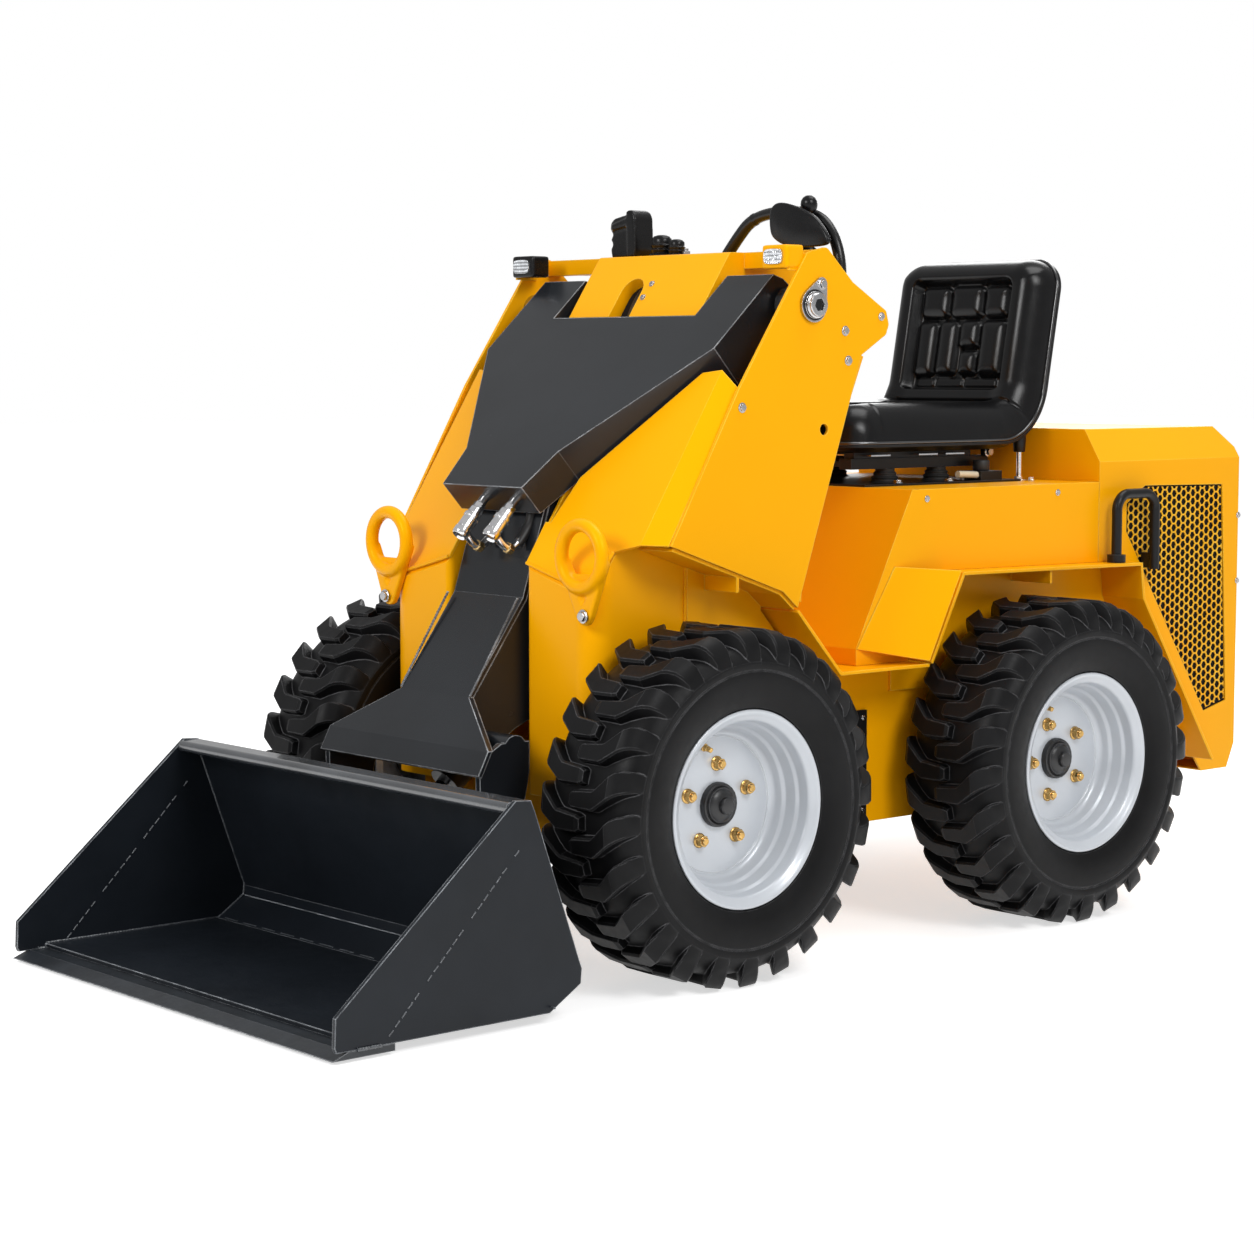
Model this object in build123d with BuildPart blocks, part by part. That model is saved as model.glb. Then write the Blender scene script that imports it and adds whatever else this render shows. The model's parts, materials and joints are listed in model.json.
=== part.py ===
from build123d import *
from math import atan2, cos, degrees, hypot, radians, sin
import os

# Compact skid steer loader with one boom in the middle, a bucket and an open seat.
# Millimetres. The front is -Y, the machine's left is +X, +Z is up and the ground is Z = 0.

# Overall sizes
wheelbase = 863
bucket_reach = 829.5            # cutting edge, ahead of the front axle
tail_reach = 690.5              # rear door hinges, behind the rear axle
side_half = 385                 # tower plates and fenders, outer faces
chassis_half = 275
body_half = 330                 # seat box and engine hood
bucket_half = 490

# Wheels
tyre_radius = 304
tyre_width = 216
wheel_x = 415                   # middle of the tyre
rim_radius = 152
rim_flange = 168
rim_width = 192
disc_depth = 80                 # wheel disc, in from the outer rim flange
disc_sheet = 8
motor_radius = 62
spigot_radius = 30

# Sheet metal and plates
sheet = 6
hood_sheet = 5
boom_plate = 12
boom_flange = 6
face_sheet = 8
bucket_sheet = 8

# Pins and cylinders
pivot_pin_radius = 20
foot_pin_radius = 17
lift_pin_radius = 16
tilt_pin_radius = 14
lock_hole_radius = 10           # boom lock hole through each tower plate
lift_barrel_radius = 35
lift_rod_radius = 17.5
tilt_barrel_radius = 30
tilt_rod_radius = 14
eye_half = 18                   # half width of a cylinder's eye

# Clearances
running = 0.05                  # radial, a pin in its bore
seat_gap = 0.3                  # between pieces that rest on each other
channel_gap = 12                # boom to the walls of its channel, each side
lug_gap = 6                     # cylinder eye to its lugs, each side
door_gap = 4

# Datums: the two axles, and the footwell floor between the tyres' tops
floor_below_tyre_top = 108
middle_y = (bucket_reach - tail_reach) / 2
front_axle_y = middle_y - wheelbase / 2
rear_axle_y = middle_y + wheelbase / 2
axle_z = tyre_radius
floor_z = 2 * tyre_radius - floor_below_tyre_top
sheet_top_z = floor_z - sheet


def front(*points):
    """Side view points given from the front axle and the floor."""
    return [(front_axle_y + y, floor_z + z) for y, z in points]


def rear(*points):
    """Side view points given from the rear axle and the floor."""
    return [(rear_axle_y + y, floor_z + z) for y, z in points]


# Joint centres in side view, as (y, z)
pivot = front((262.5, 646))[0]
foot_pin = (front_axle_y - 313.5, 130)
lift_base = front((181.5, -100))[0]
lift_head = front((181.5, 500))[0]
tilt_base = front((-8.5, 20))[0]
tilt_head = (foot_pin[0] - 25, foot_pin[1] + 110)


def foot(*points):
    """Side view points given from the boom's foot pin and the ground."""
    return [(foot_pin[0] + y, z) for y, z in points]


def outline(points, plane=Plane.YZ):
    """A straight-sided face through the points."""
    with BuildSketch(plane) as flat:
        with BuildLine():
            Polyline(*points, close=True)
        make_face()
    return flat.sketch


def plate(points, x_from, x_to, mode=Mode.ADD):
    """A side view outline made solid between two distances from the middle."""
    extrude(outline(points, Plane.YZ.offset(x_from)), amount=x_to - x_from, mode=mode)


def inner_line(points, thickness):
    """The polyline moved to its right by the thickness, with mitred corners."""
    moved = []
    for index, (y, z) in enumerate(points):
        before = points[max(index - 1, 0)]
        after = points[min(index + 1, len(points) - 1)]
        turns = []
        for start, end in ((before, (y, z)), ((y, z), after)):
            run = hypot(end[0] - start[0], end[1] - start[1])
            if run > 0:
                turns.append(((end[1] - start[1]) / run, (start[0] - end[0]) / run))
        ny = sum(turn[0] for turn in turns) / len(turns)
        nz = sum(turn[1] for turn in turns) / len(turns)
        scale = thickness / (ny * ny + nz * nz)
        moved.append((y + ny * scale, z + nz * scale))
    return moved


def strip(points, thickness):
    """A bent sheet in side view: the polyline and its inner line, closed."""
    return list(points) + inner_line(points, thickness)[::-1]


def cylinder_x(center, radius, x_from, x_to, mode=Mode.ADD):
    """A round bar along X through a side view point."""
    with Locations(Plane.YZ.offset(x_from).location):
        with Locations((center[0], center[1])):
            Cylinder(radius, x_to - x_from, align=(Align.CENTER, Align.CENTER, Align.MIN), mode=mode)


def box(x, y, z, mode=Mode.ADD):
    """A box from its limits along X, Y and Z."""
    with Locations(((x[0] + x[1]) / 2, (y[0] + y[1]) / 2, (z[0] + z[1]) / 2)):
        Box(x[1] - x[0], y[1] - y[0], z[1] - z[0], mode=mode)


def panel(corners, thickness):
    """A flat panel through its corners in space, with its thickness behind the face."""
    first, second, last = (Vector(*corners[index]) for index in (0, 1, -1))
    flat = Plane(origin=first, x_dir=second - first, z_dir=(second - first).cross(last - first))
    local = [flat.to_local_coords(Vector(*corner)) for corner in corners]
    extrude(outline([(point.X, point.Y) for point in local], flat), amount=-thickness)


pieces = {}


def both_sides(name, left):
    """Keeps a left piece, and its mirror image as the right piece."""
    with BuildPart() as right:
        mirror(left.part, about=Plane.YZ)
    pieces[name + "_left"] = left
    pieces[name + "_right"] = right


def pair(name, left):
    """Keeps a left piece and its mirror image in one node."""
    with BuildPart() as both:
        add(left.part)
        mirror(left.part, about=Plane.YZ)
    pieces[name] = both


# Chassis: a closed box between the wheels, slotted at the front for the lift cylinder,
# whose two base lugs and pin stand on the slot's floor
boom_half = 98                              # outer faces of the boom's two plates
slot_half = boom_half + channel_gap
chassis_bottom = floor_z - 300
slot_floor = floor_z - 160
chassis_front = front_axle_y - 88
chassis_rear = rear_axle_y + 498
slot_rear = front_axle_y + 226
lug_inner = eye_half + lug_gap
lug_outer = lug_inner + boom_plate
with BuildPart() as chassis_frame:
    box((-chassis_half, chassis_half), (chassis_front, chassis_rear), (chassis_bottom, sheet_top_z))
    box((-slot_half, slot_half), (chassis_front, slot_rear), (slot_floor, floor_z), Mode.SUBTRACT)
    base_lug = [(lift_base[0] + y, slot_floor - 1) for y in (-40, 32)]
    base_lug += [(lift_base[0] + y, lift_base[1] + z) for y, z in ((28, 12), (12, 26), (-12, 26), (-28, 12))]
    for side in (-1, 1):
        plate(base_lug, side * lug_inner, side * lug_outer)
    cylinder_x(lift_base, lift_pin_radius, -lug_outer, lug_outer)
pieces["chassis_frame"] = chassis_frame

# Bolted covers on the chassis sides, between the wheels
with BuildPart() as chassis_cover_left:
    cover_rear_y = (front_axle_y + rear_axle_y) / 2 + 80
    cover_z = (chassis_bottom + 10, sheet_top_z - 84)
    box((chassis_half, chassis_half + sheet), (cover_rear_y - 160, cover_rear_y), cover_z)
pair("chassis_covers", chassis_cover_left)

# Footwell: toe board and floor in one bent sheet, and the wall that closes the tower
with BuildPart() as footwell_floor:
    floor_line = front((236, 116.5), (342, 0)) + rear((-296, 0))
    plate(strip(floor_line, sheet), -side_half, side_half)
pieces["footwell_floor"] = footwell_floor

inside_half = side_half - sheet - seat_gap
with BuildPart() as footwell_wall:
    wall_line = front((241, 130), (246, 220), (391, 559))
    plate(strip(wall_line, hood_sheet)[::-1], -inside_half, inside_half)
pieces["footwell_wall"] = footwell_wall

# Tower plates: the outer sides that carry the boom's pivot
lobe_round = 9
with BuildPart() as tower_plate_left:
    tower_line = front((-62, 240), (92, 504), (251, 737), (297, 747), (328, 718), (362, 687),
                       (446, 638), (453, 614), (446, 596), (385, 560), (232, 121), (196, 151))
    plate(tower_line, side_half - sheet, side_half)
    corners = tower_plate_left.edges().filter_by(Axis.X)
    fillet(corners.group_by(Axis.Z)[-1] + corners.group_by(Axis.Z)[-2], radius=14)
    lobe = tower_plate_left.edges().filter_by(Axis.X).sort_by(Axis.Y)[-3:]
    fillet(lobe, radius=lobe_round)
    cylinder_x(pivot, pivot_pin_radius + 0.5, side_half - sheet, side_half, Mode.SUBTRACT)
    cylinder_x(front((293.5, 430))[0], lock_hole_radius, side_half - sheet, side_half, Mode.SUBTRACT)
both_sides("tower_plate", tower_plate_left)

# Boom pivot pins, each with a keeper plate outside its tower plate, bolted through its lobe
arm_inner = 197
arm_outer = 316
keeper_radius = 30
lobe_radius = 12
lobe_bolt = (pivot[0] + 18, pivot[1] + 36)
with BuildPart() as boom_pivot_left:
    cylinder_x(pivot, pivot_pin_radius, arm_inner - 4, side_half + seat_gap)
    with BuildSketch(Plane.YZ.offset(side_half + seat_gap)) as keeper:
        with Locations(pivot):
            Circle(keeper_radius)
        with Locations(lobe_bolt):
            Circle(lobe_radius)
        make_hull()
    extrude(amount=sheet)
    cylinder_x(pivot, pivot_pin_radius, side_half, side_half + 14)
    cylinder_x(pivot, pivot_pin_radius + 12, arm_outer + 8, side_half - sheet - seat_gap)
pair("boom_pivots", boom_pivot_left)

# Wheel arches ahead of the footwell: bent sheets under the tower, chassis to tower plate, each
# welded to an inner wall that stands beside the chassis, with a gusset between them
arch_inner = chassis_half + 16
wall_foot = -60                 # inner walls lap the chassis down to here, from the floor
gusset_depth = 26
with BuildPart() as front_arch_left:
    arch_line = front((-52, 236), (196, 151), (231, 122))
    plate(strip(arch_line, sheet), arch_inner, inside_half)
    arch_wall = front((52, 198), (196, 149), (226, 123), (226, 111), (326, 0), (326, wall_foot), (52, wall_foot))
    plate(arch_wall, arch_inner, arch_inner + sheet)
    gusset_y = front_axle_y + 92
    box((arch_inner, inside_half), (gusset_y, gusset_y + sheet), (floor_z + 180 - gusset_depth, floor_z + 182))
pair("front_arches", front_arch_left)

# Rear fenders: over the rear wheel and down behind it
fender_line = rear((-292, 2), (-207, 163), (307, 157), (316, 87), (541, -250))
with BuildPart() as rear_fender_left:
    fender_inner = chassis_half + seat_gap
    plate(strip(fender_line, sheet), fender_inner, side_half)
    fender_wall = rear((-290, 0), (-205, 161), (305, 155), (314, 86), (410, wall_foot), (-290, wall_foot))
    plate(fender_wall, fender_inner, fender_inner + sheet)
    gusset_y = rear_axle_y + 40
    box((fender_inner, side_half - sheet), (gusset_y, gusset_y + sheet), (floor_z + 155 - gusset_depth, floor_z + 157))
pair("rear_fenders", rear_fender_left)

# Bonnet: two sloping halves, one each side of the boom's channel, with a narrow side face
bonnet_lean = 0.635                         # back for each unit up
bonnet_sweep = 0.163                        # back for each unit out
bonnet_low = 241
crease_x = 339
panel_side = chassis_half + 15
panel_front = front_axle_y - 154
panel_bend = 45
bonnet_start = front_axle_y - 92.5          # at the crease's lower end


def bonnet_point(x, z):
    """A point on the front face of the bonnet's slope, z from the floor."""
    y = bonnet_start + (z - bonnet_low) * bonnet_lean + (x - crease_x) * bonnet_sweep
    return (x, y, floor_z + z)


def bonnet_meets(x, y):
    """The point where the bonnet's slope passes over a place in plan."""
    z = bonnet_low + (y - bonnet_start - (x - crease_x) * bonnet_sweep) / bonnet_lean
    return (x, y, floor_z + z)


bonnet_plane = Plane(
    origin=bonnet_point(crease_x, bonnet_low), x_dir=(1, bonnet_sweep, 0), z_dir=(bonnet_sweep, -1, bonnet_lean)
)


# Boom hood's plane: s runs forward and down along it, depth goes down through it
hood_angle = radians(42.5)
hood_start = front((235.5, 700))[0]
hood_plane = Plane(
    origin=(0, *hood_start), x_dir=(1, 0, 0), z_dir=(0, -sin(hood_angle), cos(hood_angle))
)


def hood_point(s, depth):
    y = hood_start[0] - s * cos(hood_angle) + depth * sin(hood_angle)
    z = hood_start[1] - s * sin(hood_angle) - depth * cos(hood_angle)
    return (y, z)


# Half outline of the hood, and of the notch between its arms: distance out, and s
hood_half = [(arm_outer, -20), (arm_outer, 190), (130, 453), (112, 544)]
notch_half = [(arm_inner, 105), (arm_inner, -20)]

with BuildPart() as bonnet_left:
    bend_x = panel_side - panel_bend * (1 - sin(radians(45)))
    bend_y = panel_front + panel_bend * (1 - sin(radians(45)))
    slope = [bonnet_meets(slot_half, panel_front), bonnet_meets(panel_side - panel_bend, panel_front),
             bonnet_meets(bend_x, bend_y), bonnet_meets(panel_side, panel_front + panel_bend),
             bonnet_point(crease_x, bonnet_low), bonnet_point(crease_x, 534), bonnet_point(slot_half, 505)]
    flat_slope = [bonnet_plane.to_local_coords(Vector(*corner)) for corner in slope]
    extrude(outline([(point.X, point.Y) for point in flat_slope], bonnet_plane), amount=-hood_sheet)
    panel([bonnet_point(crease_x, bonnet_low), (side_half - sheet, front_axle_y - 63, floor_z + 240),
           (side_half - sheet, front_axle_y + 92, floor_z + 508), bonnet_point(crease_x, 534)], hood_sheet)
    split(bisect_by=Plane.YZ.offset(inside_half), keep=Keep.BOTTOM)
    under_hood = [(x + 10, -s) for x, s in hood_half]
    under_hood += [(-x, y) for x, y in under_hood[::-1]]
    extrude(outline(under_hood, hood_plane.offset(20)), amount=-150, mode=Mode.SUBTRACT)
both_sides("bonnet", bonnet_left)

# Front panels: channel wall, front face and outer side bent from one sheet, under the bonnet
panel_seam = front_axle_y + 51
with BuildPart() as front_panel_left:
    with BuildSketch(Plane.XY.offset(floor_z - 200)) as plan:
        with Locations(((slot_half + panel_side) / 2, (panel_front + slot_rear) / 2)):
            Rectangle(panel_side - slot_half, slot_rear - panel_front)
        fillet(plan.vertices().group_by(Axis.Y)[0].sort_by(Axis.X)[-1], radius=panel_bend)
        fillet(plan.vertices().group_by(Axis.Y)[0].sort_by(Axis.X)[0], radius=12)
        offset(amount=-sheet, mode=Mode.SUBTRACT)
    extrude(amount=740)
    split(bisect_by=bonnet_plane.offset(-hood_sheet - seat_gap), keep=Keep.BOTTOM)
    beyond_wall = (slot_half + sheet, side_half)
    box(beyond_wall, (panel_seam, slot_rear), (0, pivot[1]), Mode.SUBTRACT)
    box(beyond_wall, (panel_front, slot_rear), (floor_z + bonnet_low - 5, pivot[1]), Mode.SUBTRACT)
    above_wall = [hood_point(-60, 45), hood_point(600, 45), hood_point(600, -300), hood_point(-60, -300)]
    plate(above_wall, 0, side_half, Mode.SUBTRACT)
    on_chassis = (0, chassis_half + seat_gap)
    box(on_chassis, (chassis_front - seat_gap, rear_axle_y), (0, sheet_top_z + seat_gap), Mode.SUBTRACT)
    hub_opening = front((-60, -210), (-100, -150), (-60, -90), (60, -90), (60, -210))
    plate(hub_opening, chassis_half, side_half, Mode.SUBTRACT)
both_sides("front_panel", front_panel_left)

# Tie-down rings on the front corners: an eye with a tail bolted to the panel
ring_center = (chassis_half, floor_z + 222)
ring_radius = 66
ring_hole = 40
ring_thick = 24
tail_center = (chassis_half + 4, floor_z + 122)
with BuildPart() as tie_ring_left:
    with BuildSketch(Plane.XZ.offset(-panel_front)) as eye:
        with Locations(ring_center):
            Circle(ring_radius)
        with Locations(tail_center):
            Circle(18)
        make_hull()
        with Locations(ring_center):
            Circle(ring_hole, mode=Mode.SUBTRACT)
    extrude(amount=ring_thick)
    fillet(tie_ring_left.faces().filter_by(Axis.Y).sort_by(Axis.Y)[0].edges(), radius=8)
pair("tie_rings", tie_ring_left)

# Console on top of the tower, with a beam out to each tower plate
console_half = 180
slot_x = -38                    # hose slot in the console's sloping front
slot_radius = 29
console_line = front((257.5, 743), (411.5, 743), (431.5, 700), (411.5, 560), (281.5, 560), (181.5, 630))
with BuildPart() as console:
    plate(console_line, -console_half, console_half)
    fillet(console.edges().filter_by(Axis.X).group_by(Axis.Z)[-1], radius=8)
    box((-inside_half, inside_half), (pivot[0] + 30, pivot[0] + 90), (floor_z + 714, floor_z + 743))
    beam_end = front((297, 750), (297, 743), (326, 712), (365, 700), (365, 750))
    for side in (-1, 1):
        plate(beam_end, side * (inside_half - 56), side * side_half, Mode.SUBTRACT)
    slot_plane = Plane(origin=(slot_x, *front((212.4, 676))[0]), x_dir=(1, 0, 0), z_dir=(0, -113, 76))
    with BuildSketch(slot_plane):
        with Locations((0, -45)):
            Rectangle(2 * slot_radius, 90)
        Circle(slot_radius)
    extrude(amount=-70, mode=Mode.SUBTRACT)
pieces["console"] = console

# Work lamps on brackets inside the tower plates' front corners
lamp_radius = 23
lamp_center = (arm_outer + 31, floor_z + 729)
lamp_front = pivot[0] - 62
with BuildPart() as work_lamp_left:
    with BuildSketch(Plane.XZ.offset(-lamp_front)):
        with Locations(lamp_center):
            Circle(lamp_radius)
    extrude(amount=-36)
    box((lamp_center[0], inside_half), (lamp_front + 12, lamp_front + 30), (lamp_center[1] - 8, lamp_center[1] + 8))
    box((inside_half - sheet, inside_half), (lamp_front + 12, lamp_front + 64), (lamp_center[1] - 24, lamp_center[1] + 8))
pair("work_lamps", work_lamp_left)

# Hand controls on the console and its beams: a block, a joystick, a knob and a guard pad
console_top = floor_z + 743
stand_z = console_top + seat_gap
controls_y = pivot[0] + 69
pad_y = controls_y - 16
lever_y = controls_y + 3
handle_y = controls_y + 26
with BuildPart() as hand_controls:
    box((-240, -110), (controls_y - 28, controls_y + 28), (console_top + 20, console_top + 92))
    fillet(hand_controls.edges().filter_by(Axis.Y), radius=8)
    box((-170, -130), (controls_y - 15, controls_y + 15), (stand_z, console_top + 21))
    box((-90, -10), (controls_y - 30, controls_y + 30), (stand_z, console_top + 20))
    with Locations((-50, controls_y, console_top + 19)):
        Cone(24, 7, 22, align=(Align.CENTER, Align.CENTER, Align.MIN))
    with Locations((-50, controls_y, console_top + 38)):
        Cylinder(5, 32, align=(Align.CENTER, Align.CENTER, Align.MIN))
    with Locations((-50, controls_y, console_top + 78)):
        Sphere(13)
    with Locations((302, lever_y, stand_z)):
        Cylinder(5, 74, align=(Align.CENTER, Align.CENTER, Align.MIN))
    with Locations((302, lever_y, console_top + 84)):
        Sphere(15)
pieces["hand_controls"] = hand_controls

with BuildPart() as control_pad:
    with BuildSketch(Plane.XZ.offset(-pad_y)):
        with Locations((284, console_top + 52)):
            Ellipse(80, 38)
    extrude(amount=9)
    box((262, 274), (pad_y - 12, pad_y - 4), (stand_z, console_top + 40))
pieces["control_pad"] = control_pad

# Grab handle: one foot stands on the console, the other goes down inside the left tower plate,
# where a lug holds it
handle_tube = 11
handle_foot = floor_z + 640
with BuildPart() as grab_handle:
    with BuildLine() as arch:
        handle_top = stand_z + 72
        FilletPolyline((62, handle_y, stand_z), (128, handle_y, handle_top), (300, handle_y, handle_top),
                       (356, handle_y, stand_z), (360, handle_y, handle_foot), radius=54)
    with BuildSketch(Plane(origin=arch.line @ 0, z_dir=arch.line % 0)):
        Circle(handle_tube)
    sweep()
    box((0, 2 * handle_tube + 80), (handle_y - 20, handle_y + 20), (stand_z - 60, stand_z), Mode.SUBTRACT)
    box((360, inside_half), (handle_y - 7, handle_y + 7), (handle_foot + 2, handle_foot + 22))
pieces["grab_handle"] = grab_handle

# Seat box: its front leans back, and its sides flare down to the fenders in a folded panel
deck_z = 315
with BuildPart() as seat_box:
    seat_box_line = rear((-431, seat_gap), (-431, 31), (-287, deck_z), (238, deck_z), (238, 158.2),
                         (-207, 163.3), (-293, 2.5), (-296, seat_gap))
    plate(seat_box_line, -body_half, body_half)
pieces["seat_box"] = seat_box

with BuildPart() as step_panel_left:
    folded = [(body_half, rear_axle_y - 334.5, floor_z + 176), (body_half, rear_axle_y - 431, floor_z + 31),
              (side_half, rear_axle_y - 300, floor_z + 4), (side_half, rear_axle_y - 213, floor_z + 166)]
    panel(folded, hood_sheet)
    split(bisect_by=Plane.YZ.offset(body_half + seat_gap), keep=Keep.TOP)
pair("step_panels", step_panel_left)

# Engine hood: a shell behind the seat box, open below and at the rear door and the grilles
hood_top = 417
hood_crease = 354
hood_rear = 678
hood_chamfer = 40


def hood_section(inset):
    """Cross-section of the engine hood, looking along it."""
    half = body_half - inset
    low = chassis_bottom - 50
    crease = floor_z + hood_crease - inset * 0.6
    top = floor_z + hood_top - inset
    corner = half - hood_chamfer + inset * 0.4
    return [(-half, low), (-half, crease), (-corner, top), (corner, top), (half, crease), (half, low)]


door_half = 268
door_low = -150
door_high = 330
door_face_y = rear_axle_y + hood_rear
hinge_radius = 6
door_hinge = (door_half - door_gap + 2, door_face_y + hinge_radius + 0.5)
knuckle = 50
hood_tail = rear((239, 158), (239, hood_top), (640, hood_top), (hood_rear, 375), (hood_rear, -235),
                 (655, -285), (572, -285), (543.5, -247), (318.5, 89), (309.5, 158))
inside_front = rear_axle_y + 239 + hood_sheet
inside_rear = rear_axle_y + hood_rear - hood_sheet
hollow_tail = rear((239 + hood_sheet, -100), (239 + hood_sheet, hood_top), (638, hood_top),
                   (hood_rear - hood_sheet, 372), (hood_rear - hood_sheet, -233),
                   (652, -280), (574, -280), (500, -320), (300, -100))
with BuildPart() as hood_cavity:
    plate(hollow_tail, -body_half, body_half)
    hollow = outline(hood_section(hood_sheet), Plane.XZ.offset(-inside_rear))
    extrude(hollow, amount=inside_rear - inside_front, mode=Mode.INTERSECT)

with BuildPart() as engine_hood:
    plate(hood_tail, -body_half, body_half)
    hood_along = rear_axle_y + hood_rear + 10
    across = outline(hood_section(0), Plane.XZ.offset(-hood_along))
    extrude(across, amount=hood_along, mode=Mode.INTERSECT)
    add(hood_cavity.part, mode=Mode.SUBTRACT)
    door_z = (floor_z + door_low, floor_z + door_high)
    box((-door_half, door_half), (inside_rear - 1, hood_along), door_z, Mode.SUBTRACT)
    grille_line = rear((378, 304), (624, 300), (648, -145), (576, -162), (322, 215), (322, 270))
    plate(grille_line, -body_half, body_half, Mode.SUBTRACT)
    for z in (door_z[0] + 60 - knuckle - 1, door_z[1] - 60 + 1):
        box((door_hinge[0] + 1, door_hinge[0] + 36), (door_face_y, door_face_y + 4), (z, z + knuckle))
        with Locations((*door_hinge, z)):
            Cylinder(hinge_radius, knuckle, align=(Align.CENTER, Align.CENTER, Align.MIN))
pieces["engine_hood"] = engine_hood

with BuildPart() as side_grille_left:
    plate(grille_line, body_half - hood_sheet, body_half - 1)
    plate(inner_line(grille_line + grille_line[:1], 2)[:-1], body_half - hood_sheet - 3, body_half - hood_sheet)
pair("side_grilles", side_grille_left)

# Engine: one plain block on the chassis, under the hood
with BuildPart() as engine_block:
    box((-210, 210), (rear_axle_y + 262, rear_axle_y + 610), (sheet_top_z + seat_gap, floor_z + 300))
    fillet(engine_block.edges().filter_by(Axis.Z), radius=20)
pieces["engine_block"] = engine_block

# Rear door: a plate in the hood's rear opening, on two knuckles outside its left edge
with BuildPart() as rear_door:
    box((-door_half + door_gap, door_half - door_gap), (door_face_y - hood_sheet, door_face_y),
        (door_z[0] + door_gap, door_z[1] - door_gap))
    for z in (door_z[0] + 60, door_z[1] - 60 - knuckle):
        box((door_hinge[0] - 36, door_hinge[0]), (door_face_y - 1, door_face_y + 4), (z, z + knuckle))
        with Locations((*door_hinge, z)):
            Cylinder(hinge_radius, knuckle, align=(Align.CENTER, Align.CENTER, Align.MIN))
    box((-door_half + 30, -door_half + 60), (door_face_y - 1, door_face_y + 12), (floor_z + 60, floor_z + 160))
pieces["rear_door"] = rear_door

# Handrails beside the engine hood: a bent tube standing on the fender, fixed to the hood
rail_radius = 10
rail_x = body_half + 28
with BuildPart() as handrail_left:
    with BuildLine(Plane.YZ.offset(rail_x)) as rail:
        FilletPolyline(*rear((259, 172), (259, 291), (375, 291), (375, 140)), radius=32)
    with BuildSketch(Plane(origin=rail.line @ 0, z_dir=rail.line % 0)):
        Circle(rail_radius)
    sweep()
    with Locations((rail_x, rear_axle_y + 259, floor_z + 158.6)):
        Cylinder(18, 15, align=(Align.CENTER, Align.CENTER, Align.MIN))
    box((body_half + seat_gap, rail_x), (rear_axle_y + 368, rear_axle_y + 382), (floor_z + 142, floor_z + 172))
pair("handrails", handrail_left)

# Seat: slides on four mounts, a pan, the cushion, the back and its strut
seat_half = 208
pan_low = 382
with BuildPart() as seat_slides:
    for x in (-140, 140):
        box((x - 16, x + 16), (rear_axle_y - 272, rear_axle_y + 108), (floor_z + 346, floor_z + 366))
        for y in (rear_axle_y - 165, rear_axle_y - 23):
            with Locations((x, y, floor_z + deck_z + seat_gap)):
                Cone(24, 15, 31, align=(Align.CENTER, Align.CENTER, Align.MIN))
    box((-124, 124), (rear_axle_y - 262, rear_axle_y - 242), (floor_z + 350, floor_z + 360))
    box((-124, 124), (rear_axle_y + 78, rear_axle_y + 98), (floor_z + 350, floor_z + 360))
pieces["seat_slides"] = seat_slides

with BuildPart() as seat_pan:
    pan_line = rear((-292, 366.3), (138, 366.3), (188, 392), (238, 480), (230, 486), (176, 402),
                    (130, pan_low), (-292, pan_low))
    plate(pan_line, -seat_half + 6, seat_half - 6)
pieces["seat_pan"] = seat_pan

with BuildPart() as seat_cushion:
    with BuildSketch(Plane.XY.offset(floor_z + pan_low + seat_gap)):
        with Locations((0, rear_axle_y - 93)):
            RectangleRounded(2 * seat_half, 452, radius=70)
    extrude(amount=98)
    fillet(seat_cushion.faces().sort_by(Axis.Z)[-1].edges(), radius=38)
    under_back = rear((126, 386), (176, 411), (238, 505), (238, 360), (126, 360))
    plate(under_back, -seat_half - 5, seat_half + 5, Mode.SUBTRACT)
    lean_cut = rear((118, 481), (150, 440), (300, 440), (300, 520), (118, 520))
    plate(lean_cut, -seat_half - 5, seat_half + 5, Mode.SUBTRACT)
pieces["seat_cushion"] = seat_cushion

with BuildPart() as seat_back:
    back_line = rear((122, 484), (150, 444), (202.6, 444), (229.6, 486), (233, 500), (270, 690), (256, 736),
                     (218, 742), (196, 718))
    plate(back_line, -seat_half + 12, seat_half - 12)
    fillet(seat_back.edges().filter_by(Axis.X).group_by(Axis.Z)[-1], radius=16)
    fillet(seat_back.edges().filter_by(Plane.YZ), radius=18)
pieces["seat_back"] = seat_back

with BuildPart() as seat_strut:
    with Locations((186, rear_axle_y + 166, floor_z + deck_z + seat_gap)):
        Cylinder(16, 8, align=(Align.CENTER, Align.CENTER, Align.MIN))
        Cylinder(9, 60, align=(Align.CENTER, Align.CENTER, Align.MIN))
pieces["seat_strut"] = seat_strut

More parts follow.
